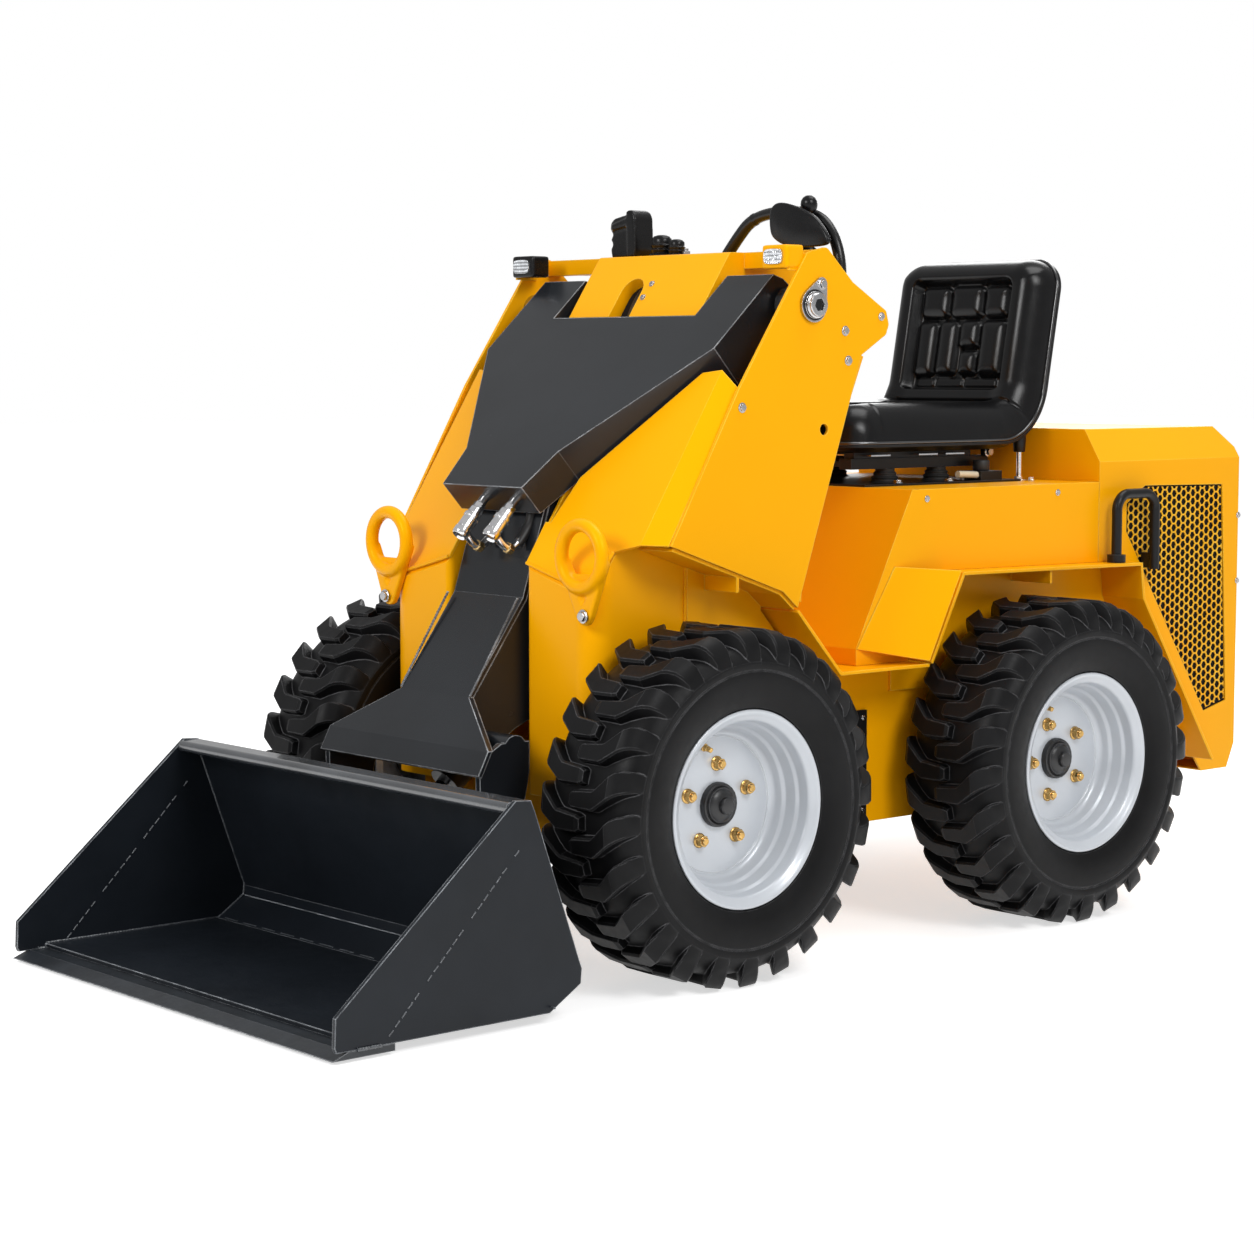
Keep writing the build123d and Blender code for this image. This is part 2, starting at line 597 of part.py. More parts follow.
# Boom hood: the plate on top of the boom, with side flanges and two arms to the pivots
with BuildPart() as boom_hood:
    plan_right = [(x, -s) for x, s in hood_half]
    plan_notch = [(x, -s) for x, s in notch_half]
    plan_line = plan_right + [(-x, y) for x, y in plan_right[::-1]]
    plan_line += [(-x, y) for x, y in plan_notch[::-1]] + plan_notch
    extrude(outline(plan_line, hood_plane), amount=-100)
    flange_line = [hood_point(s, depth) for s, depth in
                   ((0, -1), (545, -1), (545, 62), (190, 95), (40, 95), (-5, 88), (-20, 62), (-12, 20), (0, 0))]
    plate(flange_line, -arm_outer, arm_outer, Mode.INTERSECT)
    inner_right = [(x - boom_flange, y) for x, y in plan_right]
    inner_right[0] = (arm_outer - boom_flange, 30)
    inner_right[-1] = (plan_right[-1][0] - boom_flange, plan_right[-1][1] + boom_flange)
    inner_notch = [(arm_inner + boom_flange, plan_notch[0][1] - boom_flange), (arm_inner + boom_flange, 30)]
    inner = inner_right + [(-x, y) for x, y in inner_right[::-1]]
    inner += [(-x, y) for x, y in inner_notch[::-1]] + inner_notch
    extrude(outline(inner, hood_plane.offset(-boom_flange)), amount=-120, mode=Mode.SUBTRACT)
    rod_relief = [hood_point(s, depth) for s, depth in ((95, 20), (118, 20), (118, 120), (95, 120))]
    plate(rod_relief, -lug_inner, lug_inner, Mode.SUBTRACT)
    for side in (-1, 1):
        near, far = sorted((side * (arm_inner + 1), side * (arm_outer - 1)))
        cylinder_x(pivot, pivot_pin_radius + 15, near, far)
        near, far = sorted((side * (arm_inner - 1), side * (arm_outer + 1)))
        cylinder_x(pivot, pivot_pin_radius + running, near, far, Mode.SUBTRACT)
pieces["boom_hood"] = boom_hood

# Boom face plate: bent down the front of the boom, flaring to the foot brackets
foot_half = 230
face_line = [hood_point(412, boom_flange + seat_gap), front((-151.5, 141))[0],
             *foot((43, 476), (-18, 402), (-39, 362))]
face_back = inner_line(face_line, -face_sheet)
with BuildPart() as boom_face:
    plate(face_line + face_back[::-1], -foot_half, foot_half)
    face_top = face_line[0][1] + 20
    face_plan = [(-boom_half, face_top), (-boom_half, 476), (-foot_half, 402), (-foot_half, 330),
                 (foot_half, 330), (foot_half, 402), (boom_half, 476), (boom_half, face_top)]
    extrude(outline(face_plan, Plane.XZ.offset(-foot_pin[0] - 400)), amount=800, mode=Mode.INTERSECT)
pieces["boom_face"] = boom_face

# Boom frame: two deep sides from under the hood, and foot brackets beside the quick attach,
# tied to the sides by round stubs; lugs under the hood take the lift cylinder's rod
bracket_outer = 225
ear_gap = 6
foot_radius = 28
with BuildPart() as boom_frame_left:
    side_line = [hood_point(135, boom_flange + seat_gap), hood_point(393, boom_flange + seat_gap)]
    side_line += [(y + seat_gap, z) for y, z in face_back[1:-1]]
    side_line += foot((-24, 372), (45, 352), (145, 415), (285, 474))
    side_line += front((26, -2), (38, 30), (30, 300), (131, 400), (206, 460), (226, 510))
    plate(side_line, boom_half - boom_plate, boom_half)
    stub = foot((44, 400))[0]
    bracket = [(y + seat_gap, z) for y, z in face_back[3:]]
    bracket += foot((-26.5, 140), (-24, foot_pin[1] - 14), (24, foot_pin[1] - 14),
                    (27.5, 140), (74, 360), (74, 412), (14, 412))
    plate(bracket, bracket_outer - boom_plate, bracket_outer)
    cylinder_x(foot_pin, foot_radius, bracket_outer - boom_plate, bracket_outer)
    cylinder_x(stub, 24, boom_half - boom_plate, bracket_outer)
    cylinder_x(foot_pin, foot_pin_radius + running, bracket_outer - 20, bracket_outer + 1, Mode.SUBTRACT)
pair("boom_frame", boom_frame_left)

# Lugs under the hood for the lift cylinder's rod, and the tilt cylinder's cross pin
boom_inner = boom_half - boom_plate
with BuildPart() as cylinder_lugs:
    lug_line = [hood_point(s, depth) for s, depth in
                ((138, boom_flange + seat_gap), (225, boom_flange + seat_gap), (206, 118), (192, 138),
                 (160, 138), (146, 118))]
    for side in (-1, 1):
        plate(lug_line, side * lug_inner, side * lug_outer)
        cylinder_x(lift_head, 20, *sorted((side * lug_outer, side * (lug_outer + 7))))
    cylinder_x(tilt_base, tilt_pin_radius, -boom_inner + seat_gap, boom_inner - seat_gap)
pieces["cylinder_lugs"] = cylinder_lugs


def cylinder_plane(base, head):
    """A plane across a cylinder, its origin on the base pin and its normal to the head pin."""
    along = Vector(0, head[0] - base[0], head[1] - base[1])
    return Plane(origin=(0, *base), x_dir=(1, 0, 0), z_dir=along)


def barrel(base, head, radius, rod_radius, pin_radius, end):
    """Cylinder barrel: an eye on its pin, the tube and the gland the rod comes out of."""
    wall = 6
    tube_from = pin_radius + 24
    across = cylinder_plane(base, head)
    with BuildPart() as made:
        cylinder_x(base, pin_radius + 12, -eye_half, eye_half)
        with BuildSketch(across):
            Circle(eye_half - 1)
        extrude(amount=tube_from)
        with BuildSketch(across.offset(tube_from)):
            Circle(radius)
        extrude(amount=end - tube_from)
        with BuildSketch(across.offset(tube_from + 8)):
            Circle(radius - wall)
        extrude(amount=end - tube_from - 26, mode=Mode.SUBTRACT)
        with BuildSketch(across.offset(end - 20)):
            Circle(rod_radius + running)
        extrude(amount=30, mode=Mode.SUBTRACT)
        cylinder_x(base, pin_radius + running, -eye_half - 1, eye_half + 1, Mode.SUBTRACT)
    return made


def rod(base, head, barrel_radius, radius, piston_at, eye_radius):
    """Cylinder rod: a piston inside the barrel, the bar and a plain eye at its end."""
    wall = 6
    across = cylinder_plane(base, head)
    reach = hypot(head[0] - base[0], head[1] - base[1])
    with BuildPart() as made:
        with BuildSketch(across.offset(piston_at)):
            Circle(barrel_radius - wall - running)
        extrude(amount=20)
        with BuildSketch(across.offset(piston_at)):
            Circle(radius)
        extrude(amount=reach - piston_at)
        cylinder_x(head, eye_radius, -eye_half, eye_half)
        cylinder_x(head, eye_radius / 2, -eye_half - 1, eye_half + 1, Mode.SUBTRACT)
    return made


lift_barrel = barrel(lift_base, lift_head, lift_barrel_radius, lift_rod_radius, lift_pin_radius, 470)
lift_rod = rod(lift_base, lift_head, lift_barrel_radius, lift_rod_radius, 60, 27)
tilt_barrel = barrel(tilt_base, tilt_head, tilt_barrel_radius, tilt_rod_radius, tilt_pin_radius, 315)
tilt_rod = rod(tilt_base, tilt_head, tilt_barrel_radius, tilt_rod_radius, 76, 21)
pieces["lift_cylinder_barrel"] = lift_barrel
pieces["lift_cylinder_rod"] = lift_rod
pieces["tilt_cylinder_barrel"] = tilt_barrel
pieces["tilt_cylinder_rod"] = tilt_rod

# Hydraulic couplers, pointing forward and down out of the hood's front end
with BuildPart() as couplers:
    coupler_at = hood_point(544 + 1.3, 34)
    lean = radians(42)
    for x in (-22, 64):
        with BuildSketch(Plane(origin=(x, *coupler_at), z_dir=(0, -sin(lean), -cos(lean)))):
            Circle(10)
        extrude(amount=30)
        with BuildSketch(Plane(origin=(x, *coupler_at), z_dir=(0, -sin(lean), -cos(lean))).offset(26)):
            Circle(15)
        extrude(amount=58)
pieces["couplers"] = couplers

# Bucket: side view outline of its back, floor and sides, from the foot pin and the ground
bucket_low = 18
bucket_back = foot((-34, 57), (-32, 81), (-127, 345))
back_run = hypot(bucket_back[2][0] - bucket_back[1][0], bucket_back[2][1] - bucket_back[1][1])
back_up = ((bucket_back[2][0] - bucket_back[1][0]) / back_run, (bucket_back[2][1] - bucket_back[1][1]) / back_run)
back_out = (back_up[1], -back_up[0])


def back_point(up, out):
    """Side view point: up along the bucket's back, and out behind it."""
    y = bucket_back[1][0] + back_up[0] * up + back_out[0] * out
    z = bucket_back[1][1] + back_up[1] * up + back_out[1] * out
    return (y, z)


lip_y = foot_pin[0] - 455
with BuildPart() as bucket_shell:
    shell_line = [(lip_y, bucket_low), *foot((-98, bucket_low)), *bucket_back]
    plate(strip(shell_line, -bucket_sheet), -bucket_half + bucket_sheet, bucket_half - bucket_sheet)
    side_line = [(lip_y, bucket_low), *foot((-98, bucket_low)), *bucket_back]
    side_line += foot((-135, 363), (-165, 365), (-509, 71), (-511, 26), (-508, bucket_low))
    for side in (-1, 1):
        plate(side_line, side * (bucket_half - bucket_sheet), side * bucket_half)
pieces["bucket_shell"] = bucket_shell

with BuildPart() as bucket_bar:
    bar_line = foot((-178, 342), (-178, 362), (-136, 362.5), (-129, 346), (-137, 342))
    plate(bar_line, -bucket_half + bucket_sheet + seat_gap, bucket_half - bucket_sheet - seat_gap)
    fillet(bucket_bar.edges().filter_by(Axis.X).sort_by(Axis.Y)[:2], radius=9)
pieces["bucket_bar"] = bucket_bar

with BuildPart() as cutting_edge:
    edge_line = foot((-516, 6), (-400, 6), (-400, bucket_low - seat_gap), (-486, bucket_low - seat_gap))
    plate(edge_line, -bucket_half, bucket_half)
pieces["cutting_edge"] = cutting_edge

# Quick attach: a plate on the bucket's back with ears on the foot pins and lugs for the tilt rod
attach_half = 236
attach_sheet = 12
ear_outer = bracket_outer - boom_plate - ear_gap
ear_inner = ear_outer - boom_plate
pin_out = (foot_pin[0] - bucket_back[1][0]) * back_out[0] + (foot_pin[1] - bucket_back[1][1]) * back_out[1]
pin_up = (foot_pin[0] - bucket_back[1][0]) * back_up[0] + (foot_pin[1] - bucket_back[1][1]) * back_up[1]
head_out = (tilt_head[0] - bucket_back[1][0]) * back_out[0] + (tilt_head[1] - bucket_back[1][1]) * back_out[1]
head_up = (tilt_head[0] - bucket_back[1][0]) * back_up[0] + (tilt_head[1] - bucket_back[1][1]) * back_up[1]
with BuildPart() as quick_attach:
    attach_low = 8
    attach_high = 240
    attach_line = [back_point(up, out) for up, out in
                   ((attach_low, seat_gap), (attach_high, seat_gap), (attach_high, attach_sheet),
                    (attach_low, attach_sheet))]
    plate(attach_line, -attach_half, attach_half)
    window = [back_point(up, out) for up, out in
              ((head_up - 62, -5), (head_up + 62, -5), (head_up + 62, 30), (head_up - 62, 30))]
    plate(window, -eye_half - lug_gap + 1, eye_half + lug_gap - 1, Mode.SUBTRACT)
    ear = [back_point(up, out) for up, out in
           ((attach_low, 1), (attach_low + 100, 1), (pin_up + 26, pin_out + 8), (pin_up + 8, pin_out + 26),
            (pin_up - 20, pin_out + 18), (attach_low, 30))]
    lug = [back_point(up, out) for up, out in
           ((head_up - 46, 1), (head_up + 46, 1), (head_up + 20, head_out + 12), (head_up + 10, head_out + 20),
            (head_up - 10, head_out + 20), (head_up - 20, head_out + 12))]
    for side in (-1, 1):
        plate(ear, side * ear_inner, side * ear_outer)
        cylinder_x(foot_pin, foot_pin_radius + 9, *sorted((side * ear_inner, side * ear_outer)))
        cylinder_x(foot_pin, foot_pin_radius, *sorted((side * ear_inner, side * (bracket_outer + 4))))
        cylinder_x(foot_pin, foot_pin_radius + 6,
                   *sorted((side * (bracket_outer + 2), side * (bracket_outer + 9))))
        plate(lug, side * lug_inner, side * (lug_inner + 10))
        cylinder_x(tilt_head, 16, *sorted((side * (lug_inner + 10), side * (lug_inner + 16))))
pieces["quick_attach"] = quick_attach

# Wheels: a tyre and a dished rim each, and the hub motors on the chassis
rim_side = rim_width / 2
disc_face = rim_side - disc_depth
tyre_half = tyre_width / 2
tread_half = tyre_half - 8


def revolved_x(points, plane):
    """A ring about X from half a section of (along, radius) points."""
    with BuildSketch(Plane.XY) as section:
        with BuildLine():
            Polyline(*points, close=True)
        make_face()
    ring = revolve(section.sketch, axis=Axis.X, mode=Mode.PRIVATE)
    add(plane.location * ring)


motor_face = wheel_x + disc_face - disc_sheet - 12 - 6
motor_nose = wheel_x + disc_face + 14
for end, hub_y in (("front", front_axle_y), ("rear", rear_axle_y)):
    for side_name, side in (("left", 1), ("right", -1)):
        hub = Plane(origin=(side * wheel_x, hub_y, axle_z))
        bead = rim_radius + seat_gap
        with BuildPart() as tyre:
            tyre_line = [(-rim_side + 8, bead), (-rim_side + 8, rim_flange + 4), (-tyre_half, 225),
                         (-tyre_half, 252), (-tread_half, tyre_radius - 20), (-tread_half + 22, tyre_radius),
                         (tread_half - 22, tyre_radius), (tread_half, tyre_radius - 20), (tyre_half, 252),
                         (tyre_half, 225), (rim_side - 8, rim_flange + 4), (rim_side - 8, bead)]
            revolved_x(tyre_line, hub)
        pieces[f"tyre_{end}_{side_name}"] = tyre
        with BuildPart() as rim:
            inner = rim_radius - 6
            rim_line = [(-rim_side, inner), (-rim_side, rim_flange), (-rim_side + 6, rim_flange),
                        (-rim_side + 6, rim_radius), (rim_side - 6, rim_radius), (rim_side - 6, rim_flange),
                        (rim_side, rim_flange), (rim_side, inner), (disc_face + 26, inner),
                        (disc_face, inner - 34), (disc_face, spigot_radius + running),
                        (disc_face - disc_sheet - 12, spigot_radius + running),
                        (disc_face - disc_sheet - 12, motor_radius - 8), (disc_face - disc_sheet, motor_radius),
                        (disc_face - disc_sheet, inner - 30), (disc_face + 16, inner)]
            rim_line = [(side * x, r) for x, r in rim_line]
            revolved_x(rim_line, hub)
        pieces[f"rim_{end}_{side_name}"] = rim

# Hub motors: four round housings on the chassis sides, each with a spigot in its wheel
with BuildPart() as hub_motors:
    for hub_y in (front_axle_y, rear_axle_y):
        for side in (-1, 1):
            hub_at = (hub_y, axle_z)
            cylinder_x(hub_at, motor_radius, *sorted((side * (chassis_half + seat_gap), side * motor_face)))
            cylinder_x(hub_at, spigot_radius, *sorted((side * (motor_face - 1), side * motor_nose)))
pieces["hub_motors"] = hub_motors

for name, piece in pieces.items():
    piece.part.label = name
os.makedirs("parts", exist_ok=True)
for name, piece in pieces.items():
    export_step(piece.part, f"parts/{name}.step")
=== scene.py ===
import bpy
import bmesh
import json
import random
from math import cos, exp, hypot, pi, radians, sin, sqrt
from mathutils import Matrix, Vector


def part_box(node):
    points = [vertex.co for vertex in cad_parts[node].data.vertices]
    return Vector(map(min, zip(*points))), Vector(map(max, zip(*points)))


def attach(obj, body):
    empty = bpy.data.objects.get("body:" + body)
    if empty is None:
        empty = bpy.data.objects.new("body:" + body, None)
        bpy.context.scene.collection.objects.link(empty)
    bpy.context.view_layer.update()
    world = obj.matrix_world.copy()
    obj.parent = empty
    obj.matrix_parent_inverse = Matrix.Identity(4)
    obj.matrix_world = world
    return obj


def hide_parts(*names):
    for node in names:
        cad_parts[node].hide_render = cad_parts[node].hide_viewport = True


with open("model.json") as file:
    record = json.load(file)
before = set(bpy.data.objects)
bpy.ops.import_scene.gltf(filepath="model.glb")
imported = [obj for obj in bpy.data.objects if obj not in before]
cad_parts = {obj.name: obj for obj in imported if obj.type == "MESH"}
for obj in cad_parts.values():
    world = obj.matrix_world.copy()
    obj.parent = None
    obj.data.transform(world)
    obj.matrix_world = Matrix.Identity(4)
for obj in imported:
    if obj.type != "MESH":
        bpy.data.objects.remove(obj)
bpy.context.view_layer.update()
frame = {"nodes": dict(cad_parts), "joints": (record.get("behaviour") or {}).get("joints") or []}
scene = bpy.context.scene

# Studio. A pale seamless floor and surround, lit by broad soft lamps. The machine is looked at
# from its front left corner, a little downwards, from about chest height.
view_turn = radians(49.40)
view_drop = radians(5.33)
looking = Vector((-sin(view_turn) * cos(view_drop), cos(view_turn) * cos(view_drop),
    -sin(view_drop)))
camera_data = bpy.data.cameras.new("studio_camera")
camera_data.sensor_width = 36.0
camera_data.lens = 81.02
studio_camera = bpy.data.objects.new("studio_camera", camera_data)
studio_camera.location = (3.9134, -3.5464, 1.0446)
studio_camera.rotation_euler = looking.to_track_quat("-Z", "Y").to_euler()
scene.collection.objects.link(studio_camera)
scene.camera = studio_camera
scene.view_settings.view_transform = "Standard"

floor_mesh = bpy.data.meshes.new("studio_floor")
floor_mesh.from_pydata([(-40, -40, 0), (40, -40, 0), (40, 40, 0), (-40, 40, 0)], [], [(0, 1, 2, 3)])
studio_floor = bpy.data.objects.new("studio_floor", floor_mesh)
scene.collection.objects.link(studio_floor)


def feed(node, sockets):
    """Fills a shader node's sockets: an output is linked, anything else is set."""
    for name, value in sockets.items():
        if isinstance(value, bpy.types.NodeSocket):
            node.id_data.links.new(value, node.inputs[name])
        else:
            node.inputs[name].default_value = value


def fitted(tree, kind, sockets=(), **settings):
    """Adds a shader node of a kind, with its sockets and settings."""
    node = tree.nodes.new("ShaderNode" + kind)
    for name, value in settings.items():
        setattr(node, name, value)
    feed(node, dict(sockets))
    return node


floor_paint = bpy.data.materials.new("floor_paint")
floor_paint.use_nodes = True
tree = floor_paint.node_tree
seen = fitted(tree, "LightPath").outputs
either = fitted(tree, "Math", {0: seen["Is Camera Ray"], 1: seen["Is Glossy Ray"]}, operation="MAXIMUM")
lifted = fitted(tree, "Math", {0: either.outputs[0], 1: 0.62}, operation="MULTIPLY")
feed(tree.nodes["Principled BSDF"], {
    "Base Color": (0.80, 0.80, 0.80, 1), "Roughness": 0.9, "Specular IOR Level": 0.0,
    "Emission Color": (1, 1, 1, 1), "Emission Strength": lifted.outputs[0]})
floor_mesh.materials.append(floor_paint)

surround = bpy.data.worlds.new("surround")
surround.use_nodes = True
scene.world = surround
tree = surround.node_tree
lit = tree.nodes["Background"]
feed(lit, {"Color": (1, 1, 1, 1), "Strength": 0.50})
shown = fitted(tree, "Background", {"Color": (1, 1, 1, 1), "Strength": 1.0})
by_camera = fitted(tree, "LightPath").outputs["Is Camera Ray"]
pick = fitted(tree, "MixShader", {0: by_camera, 1: lit.outputs[0], 2: shown.outputs[0]})
feed(tree.nodes["World Output"], {"Surface": pick.outputs[0]})

for lamp_name, spot, size, power in (
    ("key_lamp", (4.4, -0.6, 3.8), 1.8, 118),
    ("front_lamp", (0.4, -5.4, 3.4), 1.8, 150),
    ("top_lamp", (0.8, 1.2, 5.2), 2.6, 95),
    ("rear_lamp", (-2.5, 4.6, 3.0), 3.0, 90),
):
    lamp_data = bpy.data.lights.new(lamp_name, "AREA")
    lamp_data.size = size
    lamp_data.energy = power
    lamp = bpy.data.objects.new(lamp_name, lamp_data)
    lamp.location = spot
    lamp.rotation_euler = (Vector((0, 0, 0.6)) - Vector(spot)).to_track_quat("-Z", "Y").to_euler()
    scene.collection.objects.link(lamp)


# Yellow steel: the chassis box, tower, bonnet, fenders, seat box and engine hood. Laser-cut and
# bent sheet, welded and powder coated, so it has a fine orange-peel skin; its edges are painted paler as a
# highlight.
def coat_of(name, colour, rough, metal=0.0, shine=0.5, clear=0.0, mottle=0.05, cloud_scale=3.0, grain=900.0,
        grain_depth=0.00003, edge=None, edge_width=0.0012, swing=0.06, tint=(1, 1, 1)):
    """A finish with uneven tone, uneven gloss, a fine grain and rounded edges, which an edge colour paints
    paler: a painted highlight, on some finishes also wear.
    """
    finish = bpy.data.materials.new(name)
    finish.use_nodes = True
    tree = finish.node_tree
    place = fitted(tree, "TexCoord").outputs["Object"]
    cloud = fitted(tree, "TexNoise", {"Scale": cloud_scale, "Detail": 5, "Vector": place})
    tone = fitted(tree, "ValToRGB", {"Fac": cloud.outputs["Fac"]})
    darker, paler = tone.color_ramp.elements
    darker.position, paler.position = 0.30, 0.70
    darker.color = (*[c * (1 - mottle) for c in colour], 1)
    paler.color = (*[min(1, c * (1 + mottle)) for c in colour], 1)
    smear = fitted(tree, "TexNoise", {"Scale": cloud_scale * 6, "Detail": 6, "Vector": place}).outputs["Fac"]
    least, most = max(0.02, rough - swing), rough + swing
    gloss = fitted(tree, "MapRange", {"Value": smear, "To Min": least, "To Max": most})
    rounded = fitted(tree, "Bevel", {"Radius": edge_width}, samples=4).outputs["Normal"]
    fine = fitted(tree, "TexNoise", {"Scale": grain, "Detail": 2, "Vector": place})
    bump = fitted(tree, "Bump", {
        "Distance": grain_depth * 10, "Strength": 0.1, "Height": fine.outputs["Fac"], "Normal": rounded})
    paint = tone.outputs["Color"]
    # The edge colour is a painted highlight laid patchily along the rounded edges; on some finishes it also
    # stands for wear.
    if edge:
        flat = fitted(tree, "NewGeometry").outputs["Normal"]
        turn = fitted(tree, "VectorMath", {0: rounded, 1: flat}, operation="DOT_PRODUCT")
        edge_wear_and_highlight = fitted(tree, "MapRange", {
            "Value": turn.outputs["Value"], "From Min": 0.992, "From Max": 0.90})
        uneven = fitted(tree, "MapRange", {
            "Value": smear, "From Min": 0.35, "From Max": 0.62, "To Min": 0.35})
        shares = {0: edge_wear_and_highlight.outputs["Result"], 1: uneven.outputs["Result"]}
        patchy = fitted(tree, "Math", shares, operation="MULTIPLY")
        edge_wear_and_highlight_paint = fitted(tree, "Mix", {6: paint, 7: (*edge, 1), 0: patchy.outputs[0]}, data_type="RGBA")
        paint = edge_wear_and_highlight_paint.outputs[2]
    feed(tree.nodes["Principled BSDF"], {
        "Base Color": paint, "Roughness": gloss.outputs["Result"], "Normal": bump.outputs["Normal"],
        "Metallic": metal, "Specular IOR Level": shine, "Specular Tint": (*tint, 1),
        "Coat Weight": clear, "Coat Roughness": 0.07})
    return finish


def dress(finish, *node_names):
    """Gives carried-over parts their finish."""
    for node_name in node_names:
        for place in frame["nodes"][node_name].material_slots:
            place.link = "OBJECT"
            place.material = finish


yellow_coat = coat_of("yellow_coat", (0.93, 0.404, 0.0008), 0.33, shine=0.34, mottle=0.025, cloud_scale=2.2,
    grain=650, grain_depth=0.00004, edge=(1.0, 0.76, 0.10), edge_width=0.0026, tint=(1.0, 0.66, 0.06))
dress(yellow_coat, "chassis_frame", "footwell_floor", "footwell_wall", "tower_plate_left",
    "tower_plate_right", "front_arches", "rear_fenders", "bonnet_left", "bonnet_right", "front_panel_left",
    "front_panel_right", "console", "seat_box", "step_panels", "engine_hood", "rear_door")

# Fasteners on the yellow steel: zinc-plated hexagon screws on washers, set into the tower plates,
# console, seat box and covers. Each is a stack of rings, round or six-sided, along its axis.
ring_steps = 24


def netted(heap, first, rows, columns, rows_meet=False, columns_meet=True):
    """Four-sided faces over a grid of points, which may close on itself either way."""
    for row in range(rows if rows_meet else rows - 1):
        near, far = first + row * columns, first + (row + 1) % rows * columns
        for step in range(columns if columns_meet else columns - 1):
            nxt = (step + 1) % columns
            heap[1].append((near + step, near + nxt, far + nxt, far + step))


def capped(heap, first, columns):
    """Closes the first and the last row of the grid that was added from first."""
    points, faces = heap
    faces.append(tuple(range(first, first + columns)))
    faces.append(tuple(range(len(points) - columns, len(points))))


def stack(heap, at, out, rings, turn=0.0):
    """Rings of (height, radius) in millimetres along out; a third number gives a ring flat sides."""
    at, out = Vector(at), Vector(out).normalized()
    across = out.orthogonal().normalized()
    up = out.cross(across)
    points = heap[0]
    first = len(points)
    for height, radius, *sides in rings:
        for step in range(ring_steps):
            angle = 2 * pi * step / ring_steps
            reach = radius / 1000
            if sides:
                part = 2 * pi / sides[0]
                reach *= cos(part / 2) / cos((angle % part) - part / 2)
            ray = across * cos(angle + turn) + up * sin(angle + turn)
            points.append(tuple(at + out * height / 1000 + ray * reach))
    netted(heap, first, len(rings), ring_steps)
    capped(heap, first, ring_steps)


def shaped(name, heap, sharp=35):
    """A mesh of the gathered points and faces, sharp at edges that turn more than an angle."""
    data = bpy.data.meshes.new(name)
    data.from_pydata(heap[0], [], heap[1])
    solid = bmesh.new()
    solid.from_mesh(data)
    bmesh.ops.remove_doubles(solid, verts=solid.verts, dist=0.000005)
    bmesh.ops.recalc_face_normals(solid, faces=solid.faces)
    solid.to_mesh(data)
    solid.free()
    data.shade_smooth()
    data.set_sharp_from_angle(angle=radians(sharp))
    return data


def placed(name, data, finish, replaces=(), body="machine"):
    """Stands a mesh in the scene as a piece that rides on its body."""
    piece = bpy.data.objects.new(name, data)
    scene.collection.objects.link(piece)
    data.materials.append(finish)
    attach(piece, body)
    if replaces:
        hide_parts(*replaces)
    return piece


def made(name, heap, finish, sharp=35, replaces=(), body="machine"):
    """Makes the gathered points and faces into a piece."""
    return placed(name, shaped(name, heap, sharp), finish, replaces, body)


def screw(heap, at, out, size):
    """A hexagon screw head on its washer; size is half the head's width in millimetres."""
    stack(heap, at, out, [(-1, size * 1.25), (1.2, size * 1.25), (1.4, size * 0.98, 6),
        (size * 0.62, size * 0.98, 6), (size * 0.72, size * 0.80)], 0.3)


bright_zinc = coat_of("bright_zinc", (0.47, 0.47, 0.48), 0.22, metal=1.0, mottle=0.10, cloud_scale=60,
    grain=1500, edge=(0.85, 0.85, 0.85), edge_width=0.0006)
machine_screws = ([], [])
tower_half, hood_half, ring_half = 0.385, 0.330, 0.283
keeper_thick = 0.0063
for side in (1, -1):
    for y, z, size, raised in ((-0.0815, 1.182, 8, keeper_thick), (-0.0185, 1.102, 7, 0),
            (-0.0105, 1.05, 7, 0), (-0.2645, 0.97, 7, 0), (0.0715, 1.128, 6, 0)):
        screw(machine_screws, (side * (tower_half + raised), y, z), (side, 0, 0), size)
    for y, z in ((0.252, 0.797), (0.616, 0.798), (1.1785, 0.735), (1.1785, 0.60)):
        screw(machine_screws, (side * hood_half, y, z), (side, 0, 0), 5)
    screw(machine_screws, (side * ring_half, -0.532, 0.622), (0, -1, 0), 9.5)
for x, y, z in ((0.010, -0.1405, 1.1895), (0.004, -0.1572, 1.1647)):
    screw(machine_screws, (x, y, z), (0, -0.83, 0.558), 5)
made("machine_screws", machine_screws, bright_zinc)

# Side covers and the hub motors on the chassis: black covers held by a row of small screws down
# each edge, and cast motor housings with plated spigots in the wheels.
satin_black = coat_of("satin_black", (0.006, 0.006, 0.0065), 0.36, shine=0.26, mottle=0.15, cloud_scale=8,
    edge=(0.10, 0.10, 0.105), edge_width=0.001)
dress(satin_black, "chassis_covers", "handrails", "seat_slides")
dark_casting = coat_of("dark_casting", (0.045, 0.045, 0.048), 0.55, shine=0.4, mottle=0.2, cloud_scale=14,
    grain=260, grain_depth=0.0001, edge=(0.12, 0.12, 0.12))
dress(dark_casting, "engine_block", "hub_motors")
dress(bright_zinc, "boom_pivots")
cover_screws = ([], [])
cover_low, cover_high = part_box("chassis_covers")
for side in (1, -1):
    for row in range(6):
        z = cover_low.z + 0.014 + (cover_high.z - cover_low.z - 0.028) * row / 5
        for y in (cover_low.y + 0.010, cover_high.y - 0.010):
            screw(cover_screws, (side * cover_high.x, y, z), (side, 0, 0), 4.2)
made("cover_screws", cover_screws, bright_zinc)

# Boom pivot pins: turned and plated, with a round boss outside the keeper plate and a six-sided
# socket in the end for turning them in.
def joint_at(name):
    """The point that a joint turns about."""
    return next(joint["pos_m"] for joint in frame["joints"] if joint["name"] == name)


